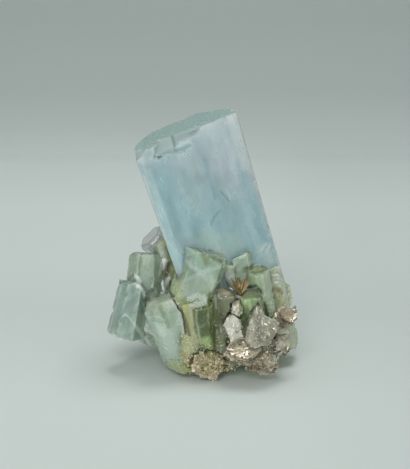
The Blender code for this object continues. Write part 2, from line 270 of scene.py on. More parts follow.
def crumb_material():
    """Crushed beryl and mica dust: sugary crumbs, each its own colour, dull with sharp small glints."""
    material, add, shader = new_material(
        "crushed beryl crumbs", Roughness=0.4, Coat_Weight=0.7, Coat_Roughness=0.08
    )
    tint = add(ATTRIBUTE, TINT).outputs["Color"]
    coords = add(COORDS, {}).outputs["Object"]
    speck = add(NOISE, {}, Vector=coords, Scale=across(0.4545), Detail=2.0)
    shade = add(RANGE, {}, Value=speck, To_Min=0.8, To_Max=1.15)
    connect(shader, Base_Color=add(MIX, DARKEN, 1.0, tint, shade))
    return material


def clear_beryl_material():
    """Beryl almost without clouds: glassy and pale under a thin veil; its rims are darker by painted shade
    in the tint.
    """
    material, add, shader = new_material(
        "clear beryl", IOR=BERYL_IOR, Coat_IOR=BERYL_IOR, Coat_Weight=1.0, Coat_Roughness=0.03,
        Roughness=0.08, Subsurface_Weight=1.0, Subsurface_Radius=(0.9, 1.0, 1.0), Subsurface_Scale=0.006,
    )
    tint = add(ATTRIBUTE, TINT).outputs["Color"]
    coords = add(COORDS, {}).outputs["Object"]
    cloud = add(NOISE, {}, Vector=coords, Scale=across(3.333), Detail=4.0, Roughness=0.6)
    veil = add(RAMP, {}, cloud)
    set_stops(veil, ((0.35, "#ffffff"), (0.7, "#e2e8e5")))
    clear = add(RANGE, {}, Value=cloud, To_Min=0.45, To_Max=0.2)
    base = add(MIX, DARKEN, 1.0, tint, veil)
    connect(shader, Base_Color=base, Transmission_Weight=clear)
    absorb(add, "#dfe8e3", 6.0)
    return material


def mica_material():
    """Muscovite mica: thin silvery sheets with a pearly shine and painted glitter of bright flecks, brown
    where stained.
    """
    material, add, shader = new_material(
        "muscovite mica", Metallic=0.4, Coat_Weight=0.8, Coat_Roughness=0.06
    )
    coords = add(COORDS, {}).outputs["Object"]
    sheet = add(ATTRIBUTE, SHEET).outputs["Fac"]
    tone = add(ATTRIBUTE, TONE).outputs["Fac"]
    stain = add(NOISE, {}, Vector=coords, Scale=across(3.03), Detail=5.0, Roughness=0.7)
    share = add(MATH, MULTIPLY, stain, 0.6)
    share = add(MATH, ADD, share, add(MATH, MULTIPLY, sheet, 0.5))
    silver = add(RAMP, {}, share)
    set_stops(
        silver,
        ((0.3, "#81806e"), (0.42, "#a3a490"), (0.55, "#b6b6a5"), (0.68, "#c8c7b5"), (0.85, "#e1e0d1")),
    )
    brown = add(RAMP, {}, share)
    set_stops(
        brown,
        ((0.3, "#423929"), (0.42, "#8d7e63"), (0.55, "#b9aa8f"), (0.68, "#d3c5aa"), (0.85, "#e9e4d1")),
    )
    base = add(MIX, OVER, tone, silver, brown)
    # Painted glitter: bright flecks 0.4 mm across in the colour, standing in for the glints of small turned
    # scales.
    fleck = add(NOISE, {}, Vector=coords, Scale=across(0.3846), Detail=2.0)
    bright = add(RANGE, {}, Value=fleck, From_Min=0.58, From_Max=0.72, To_Min=0.0, To_Max=0.85)
    base = add(MIX, OVER, bright, base, linear("#eceee9"))
    # Nearly black veins about 2 mm apart, as strong as the sheets are brown.
    vein = add(NOISE, {}, Vector=coords, Scale=across(2.381), Detail=3.0, Distortion=1.2)
    off = add(MATH, ABSOLUTE, add(MATH, SUBTRACT, vein, 0.5))
    darkening = add(RANGE, {}, Value=off, From_Max=0.03, To_Min=0.85, To_Max=0.0)
    base = add(MIX, OVER, add(MATH, MULTIPLY, darkening, tone), base, linear("#2b261b"))
    rough = add(RANGE, {}, Value=stain, To_Min=0.08, To_Max=0.42)
    bump = add("ShaderNodeBump", {}, Height=fleck, Strength=0.5, Distance=0.00006)
    connect(shader, Base_Color=base, Roughness=rough, Normal=bump)
    return material


def grain_material(name, stops, roughness, patches):
    """A granular mineral: each grain a slightly different earthy colour, dull with small glints.

    The colour drifts over patches that many millimetres across.
    """
    material, add, shader = new_material(name, Roughness=roughness, Coat_Weight=0.25, Coat_Roughness=0.2)
    coords = add(COORDS, {}).outputs["Object"]
    sheet = add(ATTRIBUTE, SHEET).outputs["Fac"]
    patch = add(NOISE, {}, Vector=coords, Scale=across(patches), Detail=4.0, Roughness=0.6)
    share = add(MATH, MULTIPLY, patch, 0.8)
    share = add(MATH, ADD, share, add(MATH, MULTIPLY, sheet, 0.35))
    colour = add(RAMP, {}, share)
    set_stops(colour, stops)
    bump = add("ShaderNodeBump", {}, Height=patch, Strength=0.5, Distance=0.0001)
    connect(shader, Base_Color=colour, Normal=bump)
    return material


# ---- meshes

# Corners nearer than this are one corner, and a face that turns less than this many degrees is flat.
MERGE = 0.002
FLAT_TURN = 0.6
# A ridge turns by more than this many degrees, and spots lie this far apart along it.
SHARP = 9.0
RIDGE_STEP = 0.25
# How far from a spot the mesh grows coarse again, and how far apart the spots of a mark lie.
FINE_REACH = 1.2
MARK_STEP = 0.12
# Marks narrower than this need a finer mesh.
NARROW_MARK = 0.6

Mark = namedtuple("Mark", "name colour strength width points frost lift", defaults=(0.0, 0.0))


def clean_copy(node):
    """A copy of a CAD node's mesh, in table millimetres, with shared corners merged and flat faces whole."""
    bm = bmesh.new()
    bm.from_mesh(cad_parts[node].data)
    bm.transform(Matrix.Translation(ORIGIN) @ Matrix.Scale(1.0 / MM, 4))
    bmesh.ops.remove_doubles(bm, verts=bm.verts, dist=MERGE)
    bmesh.ops.dissolve_limit(bm, angle_limit=math.radians(FLAT_TURN), verts=bm.verts, edges=bm.edges)
    return bm


def as_object(bm, name):
    """The mesh as an object at the origin."""
    mesh = bpy.data.meshes.new(name)
    bm.to_mesh(mesh)
    bm.free()
    if "custom_normal" in mesh.attributes:
        mesh.attributes.remove(mesh.attributes["custom_normal"])
    obj = bpy.data.objects.new(name, mesh)
    bpy.context.scene.collection.objects.link(obj)
    return obj


def as_piece(bm, name, node, material, smooth_under=0.0):
    """The mesh, drawn in millimetres, as a finished piece that stands for a CAD node."""
    bm.transform(Matrix.Scale(MM, 4) @ Matrix.Translation(-ORIGIN))
    obj = as_object(bm, name)
    obj.data.materials.append(material)
    if smooth_under:
        obj.data.shade_smooth()
        obj.data.set_sharp_from_angle(angle=math.radians(smooth_under))
    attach(obj, "root")
    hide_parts(node)
    return obj


def in_order(bm):
    """The same mesh numbered by place, so that every run of the script draws its chips and crumbs alike."""
    points = sorted(bm.verts, key=lambda v: v.co.dot(SORTING_LINE))
    number = {v: k for k, v in enumerate(points)}
    rings = []
    for face in bm.faces:
        ring = [number[v] for v in face.verts]
        first = ring.index(min(ring))
        rings.append(ring[first:] + ring[:first])
    made = bmesh.new()
    corners = [made.verts.new(v.co) for v in points]
    for ring in sorted(rings):
        made.faces.new([corners[k] for k in ring])
    made.verts.index_update()
    made.normal_update()
    bm.free()
    return made


def sharp_edges(bm, convex, angle):
    """The edges that turn outwards or, where convex is false, inwards by more than angle degrees."""
    limit = math.radians(angle)
    pairs = [e for e in bm.edges if len(e.link_faces) == 2]
    return [e for e in pairs if e.is_convex == convex and e.calc_face_angle() > limit]


def bevelled(bm, width, angle):
    """The mesh with its sharp ridges worn to narrow flats."""
    edges = sharp_edges(bm, True, angle)
    bmesh.ops.bevel(
        bm, geom=edges, offset=width, offset_type="OFFSET", segments=1, affect="EDGES",
        clamp_overlap=True, profile=0.5,
    )
    bmesh.ops.remove_doubles(bm, verts=bm.verts, dist=MERGE)
    return in_order(bm)


def edge_lines(bm, convex, angle):
    """The ends of the sharp ridges or, where convex is false, of the valleys of a mesh."""
    return [(e.verts[0].co.copy(), e.verts[1].co.copy()) for e in sharp_edges(bm, convex, angle)]


def spots_along(lines, step):
    """Places along straight lines, each line a pair of ends."""
    spots = []
    for a, b in lines:
        count = max(1, math.ceil((b - a).length / step))
        spots += [a.lerp(b, k / count) for k in range(count + 1)]
    return spots


def tree_of(places):
    """A search tree of places."""
    tree = KDTree(len(places))
    for k, place in enumerate(places):
        tree.insert(place, k)
    tree.balance()
    return tree


def near(tree, place, width):
    """1 at the nearest spot of a search tree, falling to 0 at the distance width."""
    gap = tree.find(place)[2]
    return max(0.0, 1.0 - gap / width) if gap is not None else 0.0


def rough(place, size, seed=0.0):
    """Smooth noise between -1 and 1 whose bumps are size across."""
    return noise.noise(place / size + Vector((seed, 3.7 * seed, -seed)))


def smooth_step(low, high, value):
    """0 below low, 1 above high and smooth between."""
    t = max(0.0, min(1.0, (value - low) / (high - low)))
    return t * t * (3.0 - 2.0 * t)


def too_long(edge, levels, coarse, finest):
    """Whether an edge is longer than its place on the mesh allows."""
    length = edge.calc_length()
    if length <= finest or length > coarse:
        return length > coarse
    middle = (edge.verts[0].co + edge.verts[1].co) / 2.0
    return any(
        length > fine and length > fine + (coarse - fine) * spots.find(middle)[2] / FINE_REACH
        for spots, fine in levels
    )


def refine(bm, levels, coarse):
    """Halves long edges until none is longer than coarse, or than a finer length near each set of spots."""
    bmesh.ops.triangulate(bm, faces=bm.faces[:])
    finest = min(fine for _, fine in levels)
    for _ in range(10):
        long = [e for e in bm.edges if too_long(e, levels, coarse, finest)]
        if not long:
            break
        bmesh.ops.subdivide_edges(bm, edges=long, cuts=1)
        bmesh.ops.triangulate(bm, faces=[f for f in bm.faces if len(f.verts) > 3])
    bm.normal_update()


def front_point(shell, right, up):
    """The place on a shell that is seen at a spot of the front plane."""
    start = FRONT_RIGHT * right + FRONT_UP * up - FRONT_IN * 200.0
    return shell.ray_cast(start, FRONT_IN)[0]


def spots_on(shell, points):
    """Places close together along a line of the front plane, laid on the shell."""
    spots = []
    for a, b in zip(points, points[1:]):
        count = math.ceil(math.dist(a, b) / MARK_STEP)
        spots += [front_point(shell, *blend(a, b, k / count)) for k in range(count + 1)]
    return [spot for spot in spots if spot is not None]


def fine_spots(marks, laid):
    """The places of the narrow marks."""
    return [spot for mark, spots in zip(marks, laid) if mark.width < NARROW_MARK for spot in spots]


def mark_shares(bm, laid, marks):
    """For each point of a mesh, the marks that cover it and how far, from 0 to 1."""
    tree = tree_of([v.co for v in bm.verts])
    shares = {}
    for mark, spots in zip(marks, laid):
        # A mark is whole over a little more than half of its reach and fades from there.
        reach = mark.width * 1.3
        seen = {}
        for spot in spots:
            for _, index, gap in tree.find_range(spot, reach):
                seen[index] = max(seen.get(index, 0.0), min(1.0, 1.8 * (1.0 - gap / reach)))
        for index, share in seen.items():
            shares.setdefault(index, []).append((mark, share))
    return shares


def mark_lift(shares, index):
    """How far the marks raise a point."""
    return sum(mark.lift * share for mark, share in shares.get(index, ()))


def paint(bm, tint_at, frost_at, shares):
    """Stores each point's tint and frost, with the marks that cover it."""
    tint = bm.verts.layers.float_color.new("tint")
    frost = bm.verts.layers.float.new("frost")
    for v in bm.verts:
        colour, white = tint_at(v), frost_at(v)
        for mark, share in shares.get(v.index, ()):
            colour = blend(colour, linear(mark.colour), mark.strength * share)
            white += (mark.frost - white) * mark.strength * share
        v[tint] = colour
        v[frost] = max(0.0, min(1.0, white))


def chip_ridges(bm, lines, count, sizes, rng):
    """Breaks small flat chips out of the ridges, each about a quarter as deep as it is wide."""
    tree = tree_of([v.co for v in bm.verts])
    bm.verts.ensure_lookup_table()
    lengths = [(b - a).length for a, b in lines]
    for a, b in rng.choices(lines, weights=lengths, k=count):
        spot = a.lerp(b, rng.random())
        size = rng.uniform(*sizes)
        outward = Vector((0.0, 0.0, 0.0))
        for _, index, _ in tree.find_range(spot, 0.5 * size):
            outward += bm.verts[index].normal
        tilt = Vector([rng.uniform(-0.5, 0.5) for _ in range(3)])
        outward = (outward.normalized() + tilt).normalized()
        floor = spot - outward * (0.26 * size)
        for _, index, _ in tree.find_range(spot, size):
            above = (bm.verts[index].co - floor).dot(outward)
            if above > 0.0:
                bm.verts[index].co -= outward * above
    bm.normal_update()


def move_points(bm, moves):
    """Moves each point, once all the moves are known."""
    for v, move in zip(bm.verts, moves):
        v.co += move


def keep_above_ground(bm):
    """Lifts the points that lie below the ground on to it."""
    for v in bm.verts:
        v.co.z = max(v.co.z, 0.0)


def axes_along(axis):
    """A turn that lays local Z along axis and local -Y as near the front as it can be."""
    up = axis.normalized()
    front = Vector((0.0, -1.0, 0.0))
    front = (front - up * front.dot(up)).normalized()
    return Matrix((up.cross(front), -front, up)).transposed()


# ---- the tall aquamarine

TALL_FOOT = Vector((9.1, 2.8, 11.1))
TALL_TIP = Vector((-4.4, 1.0, 54.4))
# Turns a step into the tall crystal's own axes, Z along it.
TALL_OWN = axes_along(TALL_TIP - TALL_FOOT).inverted()
# Tints of the tall crystal. Chip and left are painted light: faces tilted up are lighter, faces turned left
# paler with painted sheen.
TALL_TINTS = {
    "face": "#add2d9",
    "lilac": "#c9d5db",
    "deep": "#abcdd5",
    "low": "#c4dcd6",
    "end": "#abd4ca",
    "chip": "#c5d6d1",
    "left": "#d2dddd",
}
# Marks on a piece: name, colour, strength, half width, places in the front plane and, where they aren't 0,
# frost and lift.
TALL_MARKS = (
    ("milky foot of the blue crystal", "#c9ddda", 0.65, 1.5, ((3.5, 25.1), (4.6, 23.6), (5, 22.1)), 0.3),
    ("green tint over the foot", "#bcd9ce", 0.7, 2.2, ((0, 27.9), (3.2, 27.3), (6.7, 27.3)), 0.1),
    ("milky foot beside the right peak", "#bfd9da", 0.55, 1.6,
     ((12.6, 25.7), (13.5, 24.4), (14.4, 23)), 0.3),
    ("pale green right foot", "#cfe0cb", 0.9, 1.6, ((17.4, 21), (18, 18.5), (18.6, 16), (19, 14)), 0.3),
    ("milky left foot", "#d3e6e6", 0.4, 2.4, ((-7.4, 34), (-5.8, 30), (-3.9, 26.4)), 0.1),
    ("turquoise left half", "#aad4dc", 0.55, 3.0, ((-9.4, 39.4), (-8.1, 35.3), (-6.7, 30.5))),
    ("turquoise low middle", "#b6d8dc", 0.4, 3.2, ((2.1, 35.4), (3.7, 32.2), (5.9, 29.7))),
    ("grey-green patch in the middle", "#b9d3d0", 0.35, 2.6,
     ((-4.4, 41.6), (-3.2, 38.5), (-1.9, 35.4)), 0.1),
    ("lilac bloom", "#cfdce4", 0.6, 3.4, ((1.5, 50.2), (2.6, 47.5), (3.6, 45)), 0.25),
    ("lilac bloom left", "#bed4da", 0.5, 2.8, ((-3.2, 46.9), (-1.9, 44.8)), 0.15),
    ("deeper streak in the middle", "#9fc8cf", 0.5, 0.5, ((0, 44.9), (1.1, 41.1), (2.4, 37.3))),
    ("deeper band inside the right edge", "#a4ccd4", 0.6, 1.2,
     ((7.6, 44.1), (9.1, 39.2), (11.2, 33.4), (13, 27.9))),
    ("frosted right margin", "#d3dfe2", 0.7, 1.4, ((6, 53.6), (7.5, 48.4), (8.9, 44.2)), 0.35),
    ("lilac sliver on the left", "#dde3e8", 0.8, 0.7,
     ((-12.8, 40.8), (-11.5, 36.3), (-9.9, 31.7), (-8.4, 27.9)), 0.3),
    ("pale line inside the left edge", "#c9dde0", 0.6, 0.35,
     ((-11.4, 42.4), (-10, 37.9), (-8.4, 33.4), (-6.9, 28.8)), 0.2),
    ("inner crack", "#88a5aa", 0.6, 0.2, ((3.4, 38.4), (4.3, 37.4), (5.2, 36.3)), 0.0, -0.05),
    ("glint of the inner crack", "#c6d9dc", 0.8, 0.22, ((4.5, 38.7), (5.2, 37.8), (5.5, 36.8)), 0.3),
    ("lower inner crack", "#86a1a7", 0.6, 0.2, ((3.2, 34.2), (2.1, 32.9), (1.3, 31.1)), 0.0, -0.05),
    ("faint line above the cracks", "#94b0b6", 0.4, 0.2, ((1.5, 39.2), (1.9, 38), (2.1, 36.7))),
    ("scratch above the right foot", "#d6e2e0", 0.8, 0.2,
     ((13.5, 27.2), (13, 26.4), (12.3, 25.5)), 0.6, 0.04),
    ("second scratch above the right foot", "#d6e2e0", 0.8, 0.2,
     ((14.4, 26.8), (13.9, 25.9), (13.7, 25.2)), 0.6, 0.04),
    ("dark speck above the centre crystal", "#6e8684", 0.8, 0.22, ((0.9, 25.7), (1.3, 25.6), (1.7, 25.3))),
    ("frosted foot above the centre crystal", "#c3d6d5", 0.6, 0.7,
     ((2.4, 26), (3.7, 25.3), (4.1, 24.2)), 0.4),
    # Painted shade on the chip: a dark line in its valley, its steeper part greyer and the notch under it
    # darker.
    ("valley of the chip", "#87a098", 0.8, 0.3, ((-7, 50), (-6.6, 48.7), (-6.3, 47.6)), 0.0, -0.05),
    ("grey part of the chip", "#a3b1ae", 0.7, 1.0, ((-5.5, 49.4), (-4, 50.1), (-2.3, 50.7)), 0.2),
    ("dark notch under the chip", "#98b8b1", 0.8, 0.45,
     ((-10.3, 45.2), (-8.7, 45.9), (-6.9, 46.7), (-5.2, 47), (-3.6, 47.7))),
    ("wisp beside the chip", "#8ea7a6", 0.6, 0.3, ((-3.2, 50.4), (-2.3, 51), (-1.3, 51.2))),
    ("pale band down the right edge", "#cfdad9", 0.7, 0.8,
     ((6.4, 54.7), (7.3, 52), (8.2, 49), (9.1, 46.1), (10.2, 42.7)), 0.4),
)
TALL_MARKS = [Mark(*row) for row in TALL_MARKS]


def tall_place(place):
    """A place in the tall crystal's own axes, from its foot."""
    return TALL_OWN @ (place - TALL_FOOT)


def tall_side(v):
    """1 where a point's surface runs along the tall crystal and 0 where it faces along it."""
    return 1.0 - abs((TALL_OWN @ v.normal).z)


def tall_aquamarine(material):
    """The tall prism: growth lines along its faces, nibbled edges and a broken end."""
    bm = clean_copy("aquamarine_crystal")
    shell = BVHTree.FromBMesh(bm)
    laid = [spots_on(shell, mark.points) for mark in TALL_MARKS]
    bm = bevelled(bm, 0.16, 12.0)
    lines = edge_lines(bm, True, SHARP)
    ridges = tree_of(spots_along(lines, RIDGE_STEP))
    refine(bm, ((tree_of(fine_spots(TALL_MARKS, laid)), 0.17), (ridges, 0.34)), 1.0)
    shares = mark_shares(bm, laid, TALL_MARKS)
    chip_ridges(bm, lines, 34, (0.3, 0.8), random.Random(3))
    moves = []
    for v in bm.verts:
        q = tall_place(v.co)
        side = tall_side(v)
        # Growth lines run far along the crystal and change quickly across it.
        growth = rough(Vector((q.x, q.y, q.z * 0.05)), 2.3, 1.0) * 0.05
        growth += rough(Vector((q.x, q.y, q.z * 0.1)), 0.7, 2.0) * 0.016
        swell = rough(q, 9.0, 3.0) * 0.1
        nibbled = max(0.0, 0.1 + rough(q, 1.1, 4.0) + 0.5 * rough(q, 0.4, 5.0))
        worn = near(ridges, v.co, 0.5) * nibbled * 0.13
        lift = mark_lift(shares, v.index)
        moves.append(v.normal * (side * growth + swell * (0.4 + 0.6 * side) - worn - 0.08 + lift))
    move_points(bm, moves)
    colours = {name: linear(value) for name, value in TALL_TINTS.items()}

    def tint_at(v):
        q = tall_place(v.co)
        n = TALL_OWN @ v.normal
        high = smooth_step(20.0, 44.0, q.z + 0.9 * q.x + 4.0 * rough(q, 9.0, 6.0))
        deep = 0.5 * smooth_step(-0.1, 0.6, rough(Vector((q.x, q.y, q.z * 0.3)), 6.0, 8.0))
        colour = blend(colours["face"], colours["lilac"], high)
        colour = blend(colour, colours["deep"], deep * (1.0 - 0.6 * high))
        colour = blend(colour, colours["low"], smooth_step(16.0, 4.0, q.z))
        # Painted sheen: faces turned to the left are paler.
        colour = blend(colour, colours["left"], smooth_step(0.5, 0.8, -n.x))
        # Painted light: faces tilted up, such as the chip's facets, are lighter; the flat end gets its own
        # tint.
        if n.z > 0.35:
            colour = blend(colour, colours["end"] if n.z > 0.95 else colours["chip"], 0.9)
        return colour

    def frost_at(v):
        q = tall_place(v.co)
        side = tall_side(v)
        high = smooth_step(26.0, 44.0, q.z + 0.5 * q.x)
        # Frost on the ridges is partly worn edge and partly painted edge highlight.
        edge = near(ridges, v.co, 0.8) * (0.3 + 0.5 * rough(q, 1.6, 9.0)) * side
        bloom = high * smooth_step(-0.1, 0.7, rough(q, 3.0, 10.0)) * 0.35 * side
        return edge * 0.7 + bloom

    paint(bm, tint_at, frost_at, shares)
    # The end of the crystal is calm: free of cracks and relief.
    calm = bm.verts.layers.float.new("calm")
    for v in bm.verts:
        v[calm] = smooth_step(0.6, 0.9, (TALL_OWN @ v.normal).z)
    return as_piece(bm, "tall_aquamarine", "aquamarine_crystal", material, 24.0)


# ---- the small beryls

# Foot and tip of the middle line, half width, body colour and the colour of the end.
BERYLS = (
    ("sliver left", (-4.0, 2.0, 12.0), (-9.6, 1.0, 28.9), 2.5, "#b1bb88", "#c3cf9d"),
    ("stub left", (-14.4, -0.6, 7.6), (-13.0, -1.3, 26.9), 3.2, "#a9bca2", "#a2b399"),
    ("block left", (-17.7, -5.2, 8.2), (-15.2, -4.5, 21.2), 3.2, "#a0bcae", "#b1c8b8"),
    ("tooth front", (-5.2, -7.6, 3.4), (-9.2, -13.1, 19.6), 4.2, "#bdd3bd", "#cdddbc"),
    ("mint centre", (-5.2, -9.5, 11.5), (0.6, -10.8, 29.5), 4.4, "#adcca2", "#869d6f"),
    ("mint side", (5.8, -5.0, 12.0), (4.9, -6.4, 25.9), 2.3, "#bfd4a2", "#c6dab4"),
    ("peak right", (9.6, -6.0, 14.0), (7.4, -5.3, 27.7), 2.5, "#b8d0b7", "#abc3a4"),
    ("lens right", (13.2, -6.8, 11.0), (11.4, -8.0, 24.6), 2.2, "#bcd5ac", "#9dae75"),
    ("rib right", (17.8, -1.4, 8.0), (14.9, -1.3, 23.2), 1.8, "#dce6b5", "#dce6bc"),
    ("dark cap", (10.6, -9.0, 3.0), (9.7, -13.1, 20.3), 2.4, "#b0d874", "#78834a"),
    ("grey cap", (4.6, -9.0, 3.0), (4.3, -13.1, 20.6), 2.4, "#717849", "#71694c"),
    # The green wall's dark green body is darkened further as painted shade, since it lies in the pocket.
    ("green wall", (0.0, -9.0, 3.0), (-0.7, -13.0, 18.2), 2.3, "#708448", "#7a8c47"),
    ("yellow wall", (-4.0, -9.0, 2.0), (-4.2, -12.4, 18.6), 2.1, "#bdc069", "#b8ba64"),
    ("shoulder right", (10.0, 3.0, 3.4), (20.0, 0.0, 6.8), 3.6, "#bdc278", "#bbbf75"),
    ("back left", (-1.0, 6.0, 3.0), (-7.0, 13.5, 18.0), 3.3, "#b4cab0", "#abc1a6"),
    ("back middle", (4.0, 6.0, 3.0), (3.0, 14.8, 17.0), 3.7, "#b9cdac", "#abbf9e"),
    ("back right", (10.5, 5.0, 3.0), (12.8, 12.6, 19.0), 3.0, "#b0c7a6", "#a2b693"),
    ("back stub", (-3.0, 8.0, 2.0), (-2.0, 16.4, 9.5), 2.4, "#bfc89e", "#b2bb90"),
    ("side left", (-3.0, 4.0, 5.0), (-14.0, 6.5, 14.0), 3.0, "#b2c9b3", "#a9bfa7"),
    ("side low", (-3.0, 2.0, 2.0), (-12.4, 9.4, 7.4), 2.5, "#b9c59f", "#aeb994"),
    ("side right", (11.0, 3.0, 4.0), (16.9, 8.0, 14.8), 2.7, "#b9cda7", "#a8bd97"),
    ("side foot", (9.0, 5.0, 2.0), (16.8, 11.4, 7.6), 2.6, "#c1c89c", "#b5bb8f"),
    ("right wall", (14.6, 3.0, 3.0), (15.8, 4.0, 16.2), 3.0, "#c3cfa7", "#b8c39b"),
    ("root", (3.0, -0.8, 0.0), (3.0, -0.8, 7.0), 7.0, "#b7bf7f", "#b7bf7f"),
)
Beryl = namedtuple("Beryl", "name foot along half body end")
BERYLS = [
    Beryl(name, Vector(foot), Vector(tip) - Vector(foot), half, linear(body), linear(end))
    for name, foot, tip, half, body, end in BERYLS
]
ROOT = BERYLS[-1]
# The darker olive laid into the valleys between the crystals.
VALLEY_DARK_OLIVE = linear("#6e6638")
